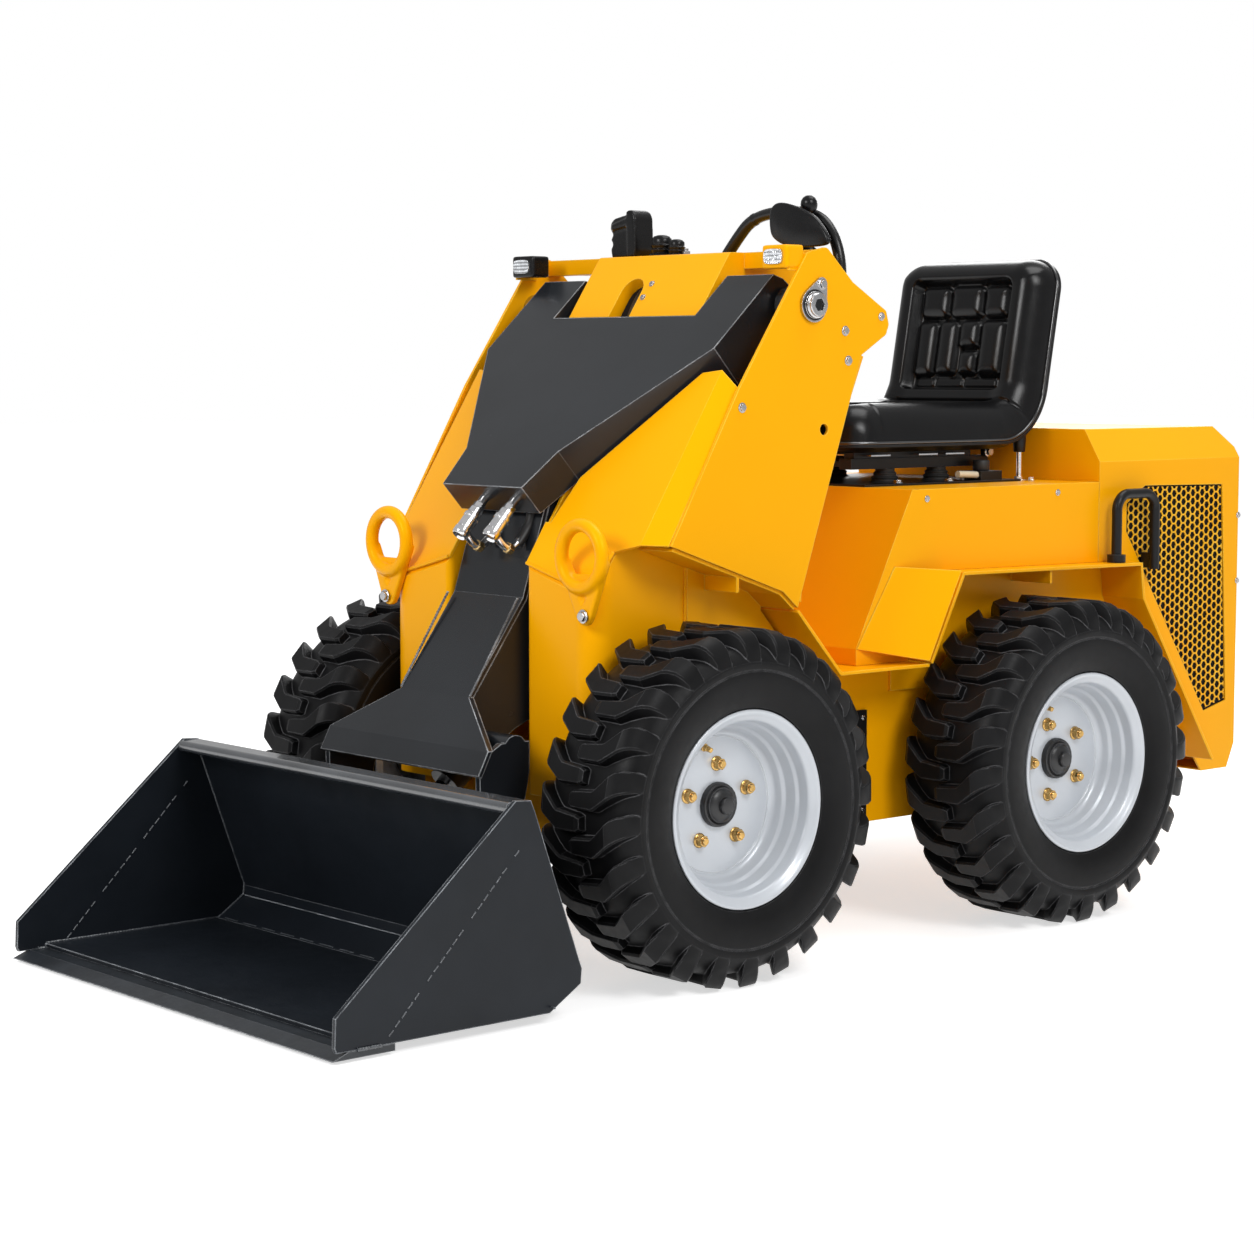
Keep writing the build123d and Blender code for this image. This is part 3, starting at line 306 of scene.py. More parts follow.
pivot_y, pivot_z = joint_at("boom_lift")[1:]
boss_foot, socket_floor = 0.3912, 0.3999
pivot_ends, pivot_seals = ([], []), ([], [])
for side in (1, -1):
    foot = (side * boss_foot, pivot_y, pivot_z)
    stack(pivot_ends, foot, (side, 0, 0), [(0, 24.5), (1.2, 24.5), (2.2, 23.2), (6.5, 23.2), (7.8, 21.2),
        (8, 20.5), (11.8, 20.5), (13, 19.2), (13.2, 12, 6), (8.6, 11.2, 6)], 0.4)
    # A black ring round each boss and a black disc on the socket's floor: painted shade in the groove and the
    # socket.
    stack(pivot_seals, foot, (side, 0, 0), [(0, 24.4), (0, 27.2), (1.2, 27.2), (1.8, 26.2), (1.8, 24.4)])
    socket = (side * socket_floor, pivot_y, pivot_z)
    stack(pivot_seals, socket, (side, 0, 0), [(0, 10.8, 6), (1, 10.8, 6)], 0.4)
made("pivot_ends", pivot_ends, bright_zinc, 30)
made("pivot_seals", pivot_seals, satin_black, 30)

# Lock hole shade: a short black tube behind each tower plate's lock hole, painted shade that keeps the
# hole's inside dark.
def turned(heap, profile, centre, side, steps=96):
    """Spins a closed section of (along, radius) in millimetres about a line across the machine."""
    points = heap[0]
    first = len(points)
    for step in range(steps):
        angle = 2 * pi * step / steps
        for along, radius in profile:
            points.append((centre[0] + side * along / 1000, centre[1] - radius / 1000 * cos(angle),
                centre[2] + radius / 1000 * sin(angle)))
    netted(heap, first, steps, len(profile), rows_meet=True)


lock_sleeves = ([], [])
plate_back = 0.379
for side in (1, -1):
    hole = (side * plate_back, pivot_y + 0.031, 0.930)
    turned(lock_sleeves, [(-0.2, 10.2), (-0.2, 13), (-33, 13), (-33, 10.2)], hole, side, 40)
made("lock_sleeves", lock_sleeves, satin_black, 30)

# Weld beads on the yellow steel, painted over: down the joint of each front panel with its arch
# wall, along the bonnet's foot, and beside the gusset inside each rear fender.
def tube(heap, path, radius, sides=14, closed=False, swell=None):
    """A round bar along a path of points."""
    points = heap[0]
    first, count = len(points), len(path)
    path = [Vector(spot) for spot in path]
    side_dir = None
    for index, spot in enumerate(path):
        ahead = path[(index + 1) % count] if closed else path[min(index + 1, count - 1)]
        behind = path[index - 1] if closed or index else path[0]
        along = (ahead - behind).normalized()
        if side_dir is None:
            side_dir = along.orthogonal().normalized()
        side_dir = (side_dir - along * side_dir.dot(along)).normalized()
        up = along.cross(side_dir)
        width = radius * (swell(index / max(1, count - 1)) if swell else 1)
        for side in range(sides):
            angle = 2 * pi * side / sides
            points.append(tuple(spot + (side_dir * cos(angle) + up * sin(angle)) * width))
    netted(heap, first, count, sides, rows_meet=closed)
    if not closed:
        capped(heap, first, sides)


def eased(corners, steps=40):
    """Points along a smooth line that a spline makes of a few corners."""
    curve = bpy.data.curves.new("guide", "CURVE")
    curve.dimensions = "3D"
    line = curve.splines.new("NURBS")
    line.points.add(len(corners) - 1)
    for point, corner in zip(line.points, corners):
        point.co = (*corner, 1)
    line.order_u = 3
    line.use_endpoint_u = True
    line.resolution_u = steps
    guide = bpy.data.objects.new("guide", curve)
    outcome = [vertex.co.copy() for vertex in bpy.data.meshes.new_from_object(guide).vertices]
    bpy.data.objects.remove(guide)
    return outcome


def bead(heap, start, end, radius=0.0022, pitch=0.006):
    """A hand weld: a small rippled bead between two points."""
    start, end = Vector(start), Vector(end)
    steps = max(4, int((end - start).length / pitch) * 3)
    path = [start.lerp(end, step / steps) + Vector([random.uniform(-0.0003, 0.0003) for _ in range(3)])
        for step in range(steps + 1)]
    tube(heap, path, radius, 8, swell=lambda t: 1 + 0.16 * cos(2 * pi * t * steps / 3))


random.seed(7)
yellow_beads = ([], [])
fender_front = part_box("rear_fenders")[0].y
upright_beads = (
    (0.2915, -0.3102, 0.600, 0.699, 0.0028), (0.2825, fender_front + 0.070, 0.560, 0.635, 0.0024),
    (0.2822, 0.5395, 0.630, 0.652, 0.0020), (0.2822, 0.5485, 0.630, 0.652, 0.0020))
bonnet_foot = [(0.112, -0.516, 0.7024), (0.245, -0.516, 0.6683), (0.262, -0.5128, 0.6710),
    (0.2768, -0.5028, 0.6809), (0.2870, -0.4875, 0.7025), (0.290, -0.471, 0.7276)]
for side in (1, -1):
    for x, y, low, high, thick in upright_beads:
        bead(yellow_beads, (side * x, y, low), (side * x, y, high), thick)
    tube(yellow_beads, eased([(side * x, y, z) for x, y, z in bonnet_foot], 10), 0.0034, 10)
made("yellow_beads", yellow_beads, yellow_coat, 60)

# Tie-down rings on the nose: a forged eye whose tail runs down to one screw. The eye and tail are
# one smooth forging, painted with the panels.
def fused(name, heap, voxel, rounds, finish, replaces=()):
    """Joins overlapping shapes into one smooth casting."""
    rough = bpy.data.objects.new(name + "_rough", shaped(name + "_rough", heap))
    scene.collection.objects.link(rough)
    grow = rough.modifiers.new("grow", "REMESH")
    grow.mode = "VOXEL"
    grow.voxel_size = voxel
    ease = rough.modifiers.new("ease", "SMOOTH")
    ease.iterations = rounds
    ease.factor = 0.5
    bpy.context.view_layer.update()
    data = bpy.data.meshes.new_from_object(rough.evaluated_get(bpy.context.evaluated_depsgraph_get()))
    bpy.data.objects.remove(rough)
    data.name = name
    data.shade_smooth()
    return placed(name, data, finish, replaces)


def hoop(heap, centre, out, radius, thick):
    """A ring of round bar about out."""
    centre, out = Vector(centre), Vector(out).normalized()
    across = out.orthogonal().normalized()
    up = out.cross(across)
    first = len(heap[0])
    turns, sides = 64, 16
    for turn in range(turns):
        angle = 2 * pi * turn / turns
        ray = across * cos(angle) + up * sin(angle)
        for side in range(sides):
            around = 2 * pi * side / sides
            rise = out * thick * sin(around)
            heap[0].append(tuple(centre + ray * (radius + thick * cos(around)) + rise))
    netted(heap, first, turns, sides, rows_meet=True)


def slab(heap, outline, place, thick_from, thick_to):
    """A flat plate of a convex outline; place turns (u, v, w) into a point."""
    first = len(heap[0])
    for w in (thick_from, thick_to):
        heap[0].extend(place(u, v, w) for u, v in outline)
    netted(heap, first, 2, len(outline))
    capped(heap, first, len(outline))


def upright(u, v, w):
    """Stands a plate across the machine."""
    return (u, w, v)


ring_low, ring_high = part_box("tie_rings")
ring_x, ring_z = 0.275, ring_high.z - 0.066
tail_x, tail_radius = 0.279, 0.0172
for side, side_name in ((1, "left"), (-1, "right")):
    eye = ([], [])
    hoop(eye, (side * ring_x, ring_high.y - 0.0125, ring_z), (0, 1, 0), 0.0532, 0.0122)
    for share in (-1, 1):
        low_u, low_v = side * tail_x, ring_low.z + 0.018
        lean = share * 0.0535
        web = [(side * ring_x + lean - 0.0105 * share, ring_z - 0.006),
            (side * ring_x + lean + 0.0105 * share, ring_z - 0.006),
            (low_u + share * 0.0185, low_v - 0.004), (low_u - share * 0.004, low_v + 0.010)]
        slab(eye, web, upright, ring_high.y, ring_high.y - 0.014)
    pad = []
    for step in range(24):
        angle = step * pi / 12
        pad.append((side * tail_x + tail_radius * cos(angle),
            ring_low.z + 0.0182 + tail_radius * sin(angle)))
    slab(eye, pad, upright, ring_high.y, ring_high.y - 0.012)
    apron = [(side * ring_x - 0.050, ring_z - 0.030), (side * ring_x + 0.050, ring_z - 0.030),
        (side * tail_x + 0.015, ring_low.z + 0.016), (side * tail_x - 0.015, ring_low.z + 0.016)]
    slab(eye, apron, upright, ring_high.y, ring_high.y - 0.009)
    fused("tie_ring_" + side_name, eye, 0.0022, 6, yellow_coat,
        ("tie_rings",) if side == 1 else ())

# Wheels: pressed and rolled steel rims in silver paint, with a deep stepped well. Five plated
# studs and nuts hold each on its hub, behind a black cap, and a valve stands in the disc.
rim_section = [(96, 164.8), (95.4, 162), (92.5, 158.5), (89.8, 155), (87.6, 150.5), (85, 148.2), (81, 147.4),
    (67, 146.5), (64, 145.2), (62, 142.2), (59, 140.8), (43, 137.5), (40, 136), (38, 132.6), (35, 131),
    (27, 128.4), (22, 126), (18.5, 122), (17.6, 118.6), (18.4, 117.4), (17.6, 116.0), (16, 115.4), (16, 36),
    (14, 34.2), (7, 34.2), (7, 112), (12, 145), (-84, 145), (-90, 150), (-96, 153), (-96, 166.4),
    (-94.5, 168), (-91.5, 168), (-90, 166), (-90, 158), (-87, 152.4), (-80, 151.6), (80, 151.6),
    (87.6, 152.8), (90.4, 158), (90.4, 166), (91.7, 168), (94.5, 168), (95.8, 166.6)]
rim_silver = coat_of("rim_silver", (0.56, 0.59, 0.63), 0.34, metal=0.15, clear=0.2, cloud_scale=9, grain=420,
    edge=(0.85, 0.87, 0.90), edge_width=0.0014)
gold_zinc = coat_of("gold_zinc", (0.50, 0.31, 0.10), 0.26, metal=1.0, mottle=0.25, cloud_scale=70, grain=1500,
    edge=(0.95, 0.78, 0.45), edge_width=0.0006)
cap_black = coat_of("cap_black", (0.014, 0.014, 0.015), 0.38, mottle=0.2, cloud_scale=30, grain=1200,
    edge=(0.07, 0.07, 0.07), edge_width=0.0008)
wheels = [("wheel_" + ends, ends, joint_at("wheel_" + ends + "_spin"))
    for ends in ("front_left", "front_right", "rear_left", "rear_right")]
disc_face, nut_circle = 0.016, 0.070
for wheel, ends, hub in wheels:
    side = 1 if hub[0] > 0 else -1
    rim = ([], [])
    turned(rim, rim_section, hub, side)
    made("wheel_rim_" + ends, rim, rim_silver, 40, ("rim_" + ends,), body=wheel)
    disc_x = hub[0] + side * disc_face
    nuts = ([], [])
    first_nut = 91 if "front" in wheel else 110
    for index in range(5):
        angle = radians(first_nut - 72 * index)
        spot = (disc_x, hub[1] + nut_circle * cos(angle), hub[2] + nut_circle * sin(angle))
        stack(nuts, spot, (side, 0, 0), [
            (0, 12.8), (2, 12.8), (3.2, 11.2), (3.4, 10.8, 6), (12.5, 10.8, 6),
            (14.2, 9), (14.3, 6.8), (17.5, 6.6), (18.6, 5.5)], index * 0.7)
    made("wheel_nuts_" + ends, nuts, gold_zinc, 30, body=wheel)
    valve = ([], [])
    stem = (disc_x, hub[1] - 0.030, hub[2] + 0.100)
    stack(valve, stem, (side, 0.1, -0.25), [(0, 7), (3, 7), (3.5, 5.8, 6), (9, 5.8, 6), (9.5, 4), (11, 3.8),
        (11.5, 4.6), (17, 4.6), (18, 3.8)])
    made("valve_" + ends, valve, gold_zinc, 30, body=wheel)
    cap = ([], [])
    stack(cap, (disc_x - side * 0.006, hub[1], hub[2]), (side, 0, 0),
        [(0, 38.5), (12, 38.5), (16.5, 37), (17.5, 34.5), (16.5, 31.8), (15.5, 30.8), (19.5, 29.2), (24, 25),
        (26.5, 17.5), (27, 15), (34, 14.6), (36.2, 12.6), (37, 7)])
    made("hub_cap_" + ends, cap, cap_black, 30, body=wheel)

# Tyres: industrial bar-tread rubber. Thick bent lugs start at the two shoulders in turn and
# overlap at the middle, over a smooth casing whose sidewall has fine moulded rings.
casing_half = [(88, 152.2), (90.5, 158), (89.5, 164), (91.5, 169.5), (94.5, 171.5), (96.5, 176), (99.5, 182),
    (102.8, 192), (105.2, 205), (106.4, 217), (106.7, 226), (106.1, 232), (105.2, 233.2), (105.4, 235),
    (106.6, 236.2), (107.4, 240), (107.8, 244), (107.4, 248), (105.5, 252.5), (101.5, 258), (97, 264),
    (90, 270.5), (78, 277), (60, 282), (30, 285.5), (8, 286.5)]
casing = casing_half + [(-along, radius) for along, radius in casing_half[::-1]]
lug_count = 24
tread_radius = 303.6
lug_sections = [(107.0, 3, 14.5, 252, 244), (104.6, 2, 17.5, 266, 248), (100.4, 0, 19.5, 281, 252),
    (94.0, -3, 20.5, 292, 259), (86, -8, 21, 299.5, 264), (78, -14.5, 20.5, 303.6, 269),
    (50, -36, 17.5, 303.6, 277), (43, -40, 17, 303.6, 278), (-5, -42, 14.5, 303.6, 279),
    (-13, -42, 10.5, 301, 279)]
# The tyre's lug edges are painted paler as a highlight.
tyre_rubber = coat_of("tyre_rubber", (0.0060, 0.0060, 0.0065), 0.44, shine=0.13, mottle=0.30, cloud_scale=11,
    grain=520, grain_depth=0.00009, edge=(0.110, 0.110, 0.115), edge_width=0.0026, swing=0.12)
for wheel, ends, hub in wheels:
    side = 1 if hub[0] > 0 else -1
    tyre = ([], [])
    turned(tyre, casing, hub, side, 128)
    for flank in (1, -1):
        for index in range(lug_count):
            start = 2 * pi * (index + (0.5 if flank < 0 else 0.0)) / lug_count
            first = len(tyre[0])
            for along, shift, width, top, base in lug_sections:
                for radius, reach in ((base, -width - 3), (top - 4, -width - 0.6), (top, -width + 2.6),
                        (top, width - 2.6), (top - 4, width + 0.6), (base, width + 3)):
                    angle = start + (shift + reach) / tread_radius
                    tyre[0].append((hub[0] + side * flank * along / 1000,
                        hub[1] - radius / 1000 * cos(angle), hub[2] + radius / 1000 * sin(angle)))
            netted(tyre, first, len(lug_sections), 6)
            capped(tyre, first, 6)
    made("tyre_tread_" + ends, tyre, tyre_rubber, 17, ("tyre_" + ends,), body=wheel)

# Console controls: a moulded hand block on the right, two short gaitered sticks beside it, a screw
# in the desk, and on the left a lever with a ball end behind an oval guard pad.
grip_plastic = coat_of("grip_plastic", (0.0045, 0.0045, 0.005), 0.28, shine=0.24, mottle=0.2, cloud_scale=25,
    grain_depth=0.00006, edge=(0.05, 0.05, 0.052))
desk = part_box("console")[1].z
controls_y = pivot_y + 0.069
hand_block = ([], [])
grip_shape = [(-0.213, 0.001), (-0.217, 0.018), (-0.210, 0.027), (-0.217, 0.036), (-0.210, 0.045),
    (-0.219, 0.056), (-0.216, 0.069), (-0.206, 0.076), (-0.160, 0.084), (-0.160, 0.001)]
post_shape = [(-0.163, 0.001), (-0.142, 0.001), (-0.138, 0.016), (-0.139, 0.074), (-0.145, 0.085),
    (-0.156, 0.0905), (-0.166, 0.088)]
rib_shape = [(-0.209, 0.053), (-0.209, 0.064), (-0.165, 0.075), (-0.165, 0.060)]
for outline, half_depth in ((grip_shape, 0.018), (post_shape, 0.024), (rib_shape, 0.0235)):
    slab(hand_block, outline, lambda u, v, w: (u, controls_y + w, desk + v), -half_depth, half_depth)
fused("hand_block", hand_block, 0.0019, 26, grip_plastic, ("hand_controls",))
sticks = ([], [])
for x, wide, tall in ((-0.088, 22.5, 41), (-0.046, 17.5, 32)):
    stack(sticks, (x, controls_y, desk), (0, 0, 1), [(0, wide * 1.1), (tall * 0.12, wide * 1.1),
        (tall * 0.18, wide * 0.86), (tall * 0.34, wide * 0.98), (tall * 0.40, wide * 0.84),
        (tall * 0.54, wide * 0.95), (tall * 0.60, wide * 0.82), (tall * 0.80, wide * 0.86),
        (tall * 0.94, wide * 0.68), (tall, wide * 0.36)])
stack(sticks, (0.302, controls_y + 0.003, desk), (0, 0, 1), [(0, 14), (4, 14), (10, 7.5), (12, 4.8),
    (64, 4.8), (66.5, 8.5), (70, 11.8), (75, 14.2), (82, 15.2), (88, 14.4), (93.5, 11.2), (97, 6), (97.8, 2)])
made("control_sticks", sticks, grip_plastic, 50)
desk_screw = ([], [])
stack(desk_screw, (-0.015, controls_y - 0.004, desk), (0, 0, 1),
    [(0, 8.5), (2, 8.5), (2.5, 7, 6), (9, 7, 6), (9.5, 4), (14, 4)])
made("desk_screw", desk_screw, bright_zinc, 30)


def smoothed(corners, rounds=3):
    """A closed outline with its corners cut again and again."""
    for _ in range(rounds):
        cut = []
        for (px, py), (qx, qy) in zip(corners, corners[1:] + corners[:1]):
            cut += [(px * 0.75 + qx * 0.25, py * 0.75 + qy * 0.25),
                (px * 0.25 + qx * 0.75, py * 0.25 + qy * 0.75)]
        corners = cut
    return corners


guard = ([], [])
pad_front, pad_x, pad_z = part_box("control_pad")[0].y, 0.306, 0.045
pad_shape = smoothed([(0.230, 0.045), (0.231, 0.080), (0.262, 0.089), (0.338, 0.066), (0.372, 0.034),
    (0.384, 0.012), (0.366, 0.005), (0.280, 0.006), (0.238, 0.022)])
pad_rings = ((0.0, 0.93), (0.0012, 0.975), (0.0038, 1.0), (0.0062, 1.0), (0.0084, 0.98), (0.0094, 0.93),
    (0.0088, 0.88))
for depth, shrink in pad_rings:
    for u, v in pad_shape:
        guard[0].append((pad_x + (u - pad_x) * shrink, pad_front + depth,
            desk + pad_z + (v - pad_z) * shrink))
netted(guard, 0, len(pad_rings), len(pad_shape))
capped(guard, 0, len(pad_shape))
stack(guard, (0.268, pad_front + 0.016, desk + 0.001), (0, 0, 1), [(0, 8), (44, 6), (46, 4)])
made("guard_pad", guard, grip_plastic, 40, ("control_pad",))

# Grab handle: a bent steel hoop over the console in a slipped-on foam sleeve, with the joint of
# the sleeve showing as a shallow step.
foam_sleeve = coat_of("foam_sleeve", (0.0046, 0.0046, 0.0048), 0.26, shine=0.36, mottle=0.2, cloud_scale=18,
    grain=700, grain_depth=0.0001)
handle_low, handle_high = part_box("grab_handle")
handle_y = (handle_low.y + handle_high.y) / 2
hoop_line = eased([(x, handle_y, z) for x, z in (
    (0.064, desk), (0.092, desk + 0.030), (0.128, desk + 0.061), (0.180, desk + 0.073), (0.250, desk + 0.073),
    (0.308, desk + 0.062), (0.340, desk + 0.030), (0.357, desk - 0.010), (0.3595, desk - 0.055),
    (0.3600, handle_low.z + 0.002))], 12)
sleeve = ([], [])
tube(sleeve, hoop_line, 0.0112, 18, swell=lambda t: 1.0 if t < 0.20 else (1.05 if t < 0.22 else 0.94))
tab_low, tab_high = handle_low.z + 0.003, handle_low.z + 0.021
slab(sleeve, [(0.360, tab_low), (0.3785, tab_low), (0.3785, tab_high), (0.360, tab_high)], upright,
    handle_y - 0.0065, handle_y + 0.0065)
made("grab_handle_sleeve", sleeve, foam_sleeve, 50, ("grab_handle",))

# Hose slot in the console's sloping front: black braided hoses pass up through it, over a black
# sheet set well back from the console's sheet as painted shade inside the slot.
slot_at = Vector((-0.038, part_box("console")[0].y + 0.0309, desk - 0.067))
slot_up = Vector((0, 0.558, 0.830))
slot_in = Vector((0, 0.830, -0.558))
slot_shade = ([], [])
slot_half, slot_foot = 0.0283, -0.088
slot_shade_outline = [(slot_half, slot_foot), (slot_half, 0.0)]
slot_shade_outline += [(slot_half * cos(a * pi / 12), slot_half * sin(a * pi / 12))
    for a in range(1, 12)]
slot_shade_outline += [(-slot_half, 0.0), (-slot_half, slot_foot)]


def in_slot(u, v, w):
    """The point u across the slot, v up the sloping sheet and w behind it."""
    return tuple(slot_at + Vector((u, 0, 0)) + slot_up * v + slot_in * w)


slab(slot_shade, slot_shade_outline, in_slot, 0.024, 0.0695)
screen_black = coat_of("screen_black", (0.004, 0.004, 0.004), 0.8, shine=0.2, mottle=0.4, cloud_scale=60,
    grain=400, grain_depth=0.0004)
made("slot_liner", slot_shade, screen_black, 40)
console_hose = ([], [])
for shift, depth, slant, thick in ((0.015, 0.021, -0.006, 0.0100), (-0.009, 0.023, 0.010, 0.0095),
        (0.003, 0.018, 0.004, 0.0070)):
    hose_line = [in_slot(shift + slant * s, 0.024 - 0.056 * s, depth + 0.010 - 0.016 * s + 0.009 * s * s)
        for s in (0.0, 0.5, 1.0, 1.5, 1.9)]
    tube(console_hose, eased(hose_line, 16), thick, 16, swell=lambda t: 1 + 0.05 * sin(t * 260))
braided_hose = coat_of("braided_hose", (0.016, 0.014, 0.010), 0.5, mottle=0.6, cloud_scale=190, grain=700,
    grain_depth=0.0004)
made("console_hoses", console_hose, braided_hose, 60)

# Work lamps: small cast housings on arms from the tower plates, each with a bright faceted
# reflector behind clear glass. The left one stands in a yellow bracket.
lens_bright = coat_of("lens_bright", (0.55, 0.57, 0.60), 0.14, metal=0.9, shine=0.6, clear=1.0, mottle=0.25,
    cloud_scale=140, grain=300, grain_depth=0.0008, edge=(1, 1, 1), edge_width=0.0008)
lamp_y, lamp_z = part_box("work_lamps")[0].y, 1.229


def cushioned(name, blocks, finish, replaces=()):
    """Rounded castings: boxes of (centre, size) smoothed by subdivision."""
    heap = ([], [])
    points, faces = heap
    for (cx, cy, cz), (sx, sy, sz) in blocks:
        first = len(points)
        for k in (-1, -0.62, 0.62, 1):
            for j in (-1, -0.62, 0.62, 1):
                for i in (-1, -0.62, 0.62, 1):
                    points.append((cx + i * sx / 2, cy + j * sy / 2, cz + k * sz / 2))
        for k in range(4):
            for j in range(4):
                for i in range(4):
                    here = first + k * 16 + j * 4 + i
                    if k in (0, 3) and i < 3 and j < 3:
                        faces.append((here, here + 1, here + 5, here + 4))
                    if j in (0, 3) and i < 3 and k < 3:
                        faces.append((here, here + 1, here + 17, here + 16))
                    if i in (0, 3) and j < 3 and k < 3:
                        faces.append((here, here + 4, here + 20, here + 16))
    piece = made(name, heap, finish, 180, replaces)
    soft = piece.modifiers.new("soft", "SUBSURF")
    soft.levels = soft.render_levels = 2
    return piece


def closed_behind(heap, first, rows, columns, shift):
    """Walls and a back for a grid of points, with its border carried off by shift."""
    points, faces = heap
    rim = [first + k * columns for k in range(rows)]
    rim += [first + (rows - 1) * columns + i for i in range(1, columns)]
    rim += [first + k * columns + columns - 1 for k in range(rows - 2, -1, -1)]
    rim += [first + i for i in range(columns - 2, 0, -1)]
    back = range(len(points), len(points) + len(rim))
    points.extend([tuple(c + d for c, d in zip(points[a], shift)) for a in rim])
    for j in range(len(rim)):
        faces.append((rim[j - 1], rim[j], back[j], back[j - 1]))
    faces.append(tuple(back))


lens_rows, lens_columns = 9, 17
arm_out, arm_top = 0.3787, 0.007
for side, side_name in ((1, "left"), (-1, "right")):
    lamp_x = side * 0.349
    housing = [((lamp_x, lamp_y + 0.0255, lamp_z), (0.064, 0.042, 0.041)),
        ((lamp_x, lamp_y + 0.034, lamp_z - 0.004), (0.040, 0.036, 0.032))]
    cushioned("lamp_housing_" + side_name, housing, yellow_coat if side == 1 else grip_plastic,
        ("work_lamps",) if side == 1 else ())
    lens = ([], [])
    for k in range(lens_rows):
        for i in range(lens_columns):
            u, v = 2 * i / (lens_columns - 1) - 1, 2 * k / (lens_rows - 1) - 1
            dent = 0.0016 if i % 2 and k % 2 else 0.0
            lens[0].append((lamp_x + u * 0.023 * (1 - 0.16 * abs(v) ** 3), lamp_y + 0.0005 + dent,
                lamp_z + v * 0.013 * (1 - 0.12 * abs(u) ** 3)))
    netted(lens, 0, lens_rows, lens_columns, columns_meet=False)
    closed_behind(lens, 0, lens_rows, lens_columns, (0, 0.006, 0))
    made("lamp_lens_" + side_name, lens, lens_bright, 10)
    arm = ([], [])
    for x0, y0, y1, z0 in ((0.360, 0.014, 0.030, -0.007), (0.3737, 0.012, 0.062, -0.024)):
        slab(arm, [(x0, z0), (arm_out, z0), (arm_out, arm_top), (x0, arm_top)],
            lambda u, v, w: (side * u, lamp_y + w, lamp_z + v), y0, y1)
    made("lamp_arm_" + side_name, arm, yellow_coat, 30)

# Boom: a folded hood plate over two deep sides, a bent face plate down to the foot brackets, all
# welded up and painted gloss charcoal. Its plate edges are painted pale as a highlight.
boom_gloss = coat_of("boom_gloss", (0.0115, 0.0132, 0.0160), 0.24, shine=0.34, clear=0.04, mottle=0.25,
    cloud_scale=3.5, grain=600, edge=(0.70, 0.72, 0.75), edge_width=0.0028, swing=0.08)
dress(boom_gloss, "boom_hood", "boom_face", "boom_frame", "cylinder_lugs")

# Hydraulic couplers and hoses on the boom's nose: two plated quick couplers with knurled sleeves,
# each on a swivel elbow, and black hoses that go back up under the hood.
polished_steel = coat_of("polished_steel", (0.78, 0.78, 0.79), 0.16, metal=1.0, mottle=0.08, cloud_scale=40,
    grain=1200, edge=(0.95, 0.95, 0.95), edge_width=0.0006, swing=0.05)
brass_fitting = coat_of("brass_fitting", (0.75, 0.50, 0.20), 0.25, metal=1.0, mottle=0.15, cloud_scale=60,
    grain=1200, edge=(0.95, 0.80, 0.50), edge_width=0.0005)
coupler_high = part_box("couplers")[1]
lean = radians(42)
axis = Vector((0, -sin(lean), -cos(lean)))
plated, brass, hose = ([], []), ([], []), ([], [])
elbow_moves = ((0, 0.008, -0.004), (0.002, 0.020, -0.022), (0.004, 0.042, -0.030), (0.004, 0.060, -0.012))
hose_moves = ((0.004, 0.052, -0.022), (0.004, 0.078, 0.004), (0.002, 0.088, 0.045))
for x in (-0.022, 0.064):
    top = Vector((x, coupler_high.y - 0.010 * cos(lean), coupler_high.z - 0.010 * sin(lean)))
    stack(plated, top, axis, [(-4, 8.5), (10, 8.5), (11, 11.2, 6), (22, 11.2, 6), (23, 12.2), (34, 12.5),
        (34.5, 11.2), (36.5, 11.2), (37, 15), (43, 15), (43.5, 13), (45.5, 13), (46, 13.8), (66, 13.8),
        (66.5, 12.5), (68, 12.5), (68.5, 15), (78, 15), (81, 13.8), (83, 12), (79.5, 8.5)], 0.2)
    low = top + axis * 0.072
    elbow = [low + Vector(move) for move in elbow_moves]
    tube(plated, eased(elbow, 10), 0.0075, 14)
    stack(brass, low + Vector((0.003, 0.030, -0.026)), (0, 0.8, -0.3),
        [(0, 10.5, 6), (10, 10.5, 6), (12, 8.5)])
    hose_line = [low + Vector(move) for move in hose_moves] + [top + Vector((0.0, 0.045, 0.030))]
    tube(hose, eased(hose_line, 12), 0.0088, 14)
made("hydraulic_couplers", plated, polished_steel, 30, ("couplers",), body="boom")
made("brass_fittings", brass, brass_fitting, 30, body="boom")
hose_rubber = coat_of("hose_rubber", (0.012, 0.012, 0.012), 0.45, mottle=0.2, cloud_scale=40, grain=500,
    grain_depth=0.0001)
made("coupler_hoses", hose, hose_rubber, 60, body="boom")

# Cylinders: one lifts the boom and one tips the bucket. Drawn steel barrels painted black, each with
# a gland at its end, and ground rods plated with hard chrome.
barrel_black = coat_of("barrel_black", (0.011, 0.011, 0.012), 0.30, shine=0.45, clear=0.15, mottle=0.12,
    cloud_scale=12, edge=(0.16, 0.16, 0.17))
hard_chrome = coat_of("hard_chrome", (0.80, 0.80, 0.82), 0.10, metal=1.0, mottle=0.04, cloud_scale=30,
    grain=1500, grain_depth=0.00001, edge=(0.95, 0.95, 0.95), swing=0.04)
dress(barrel_black, "lift_cylinder_barrel", "tilt_cylinder_barrel")
dress(hard_chrome, "lift_cylinder_rod", "tilt_cylinder_rod")
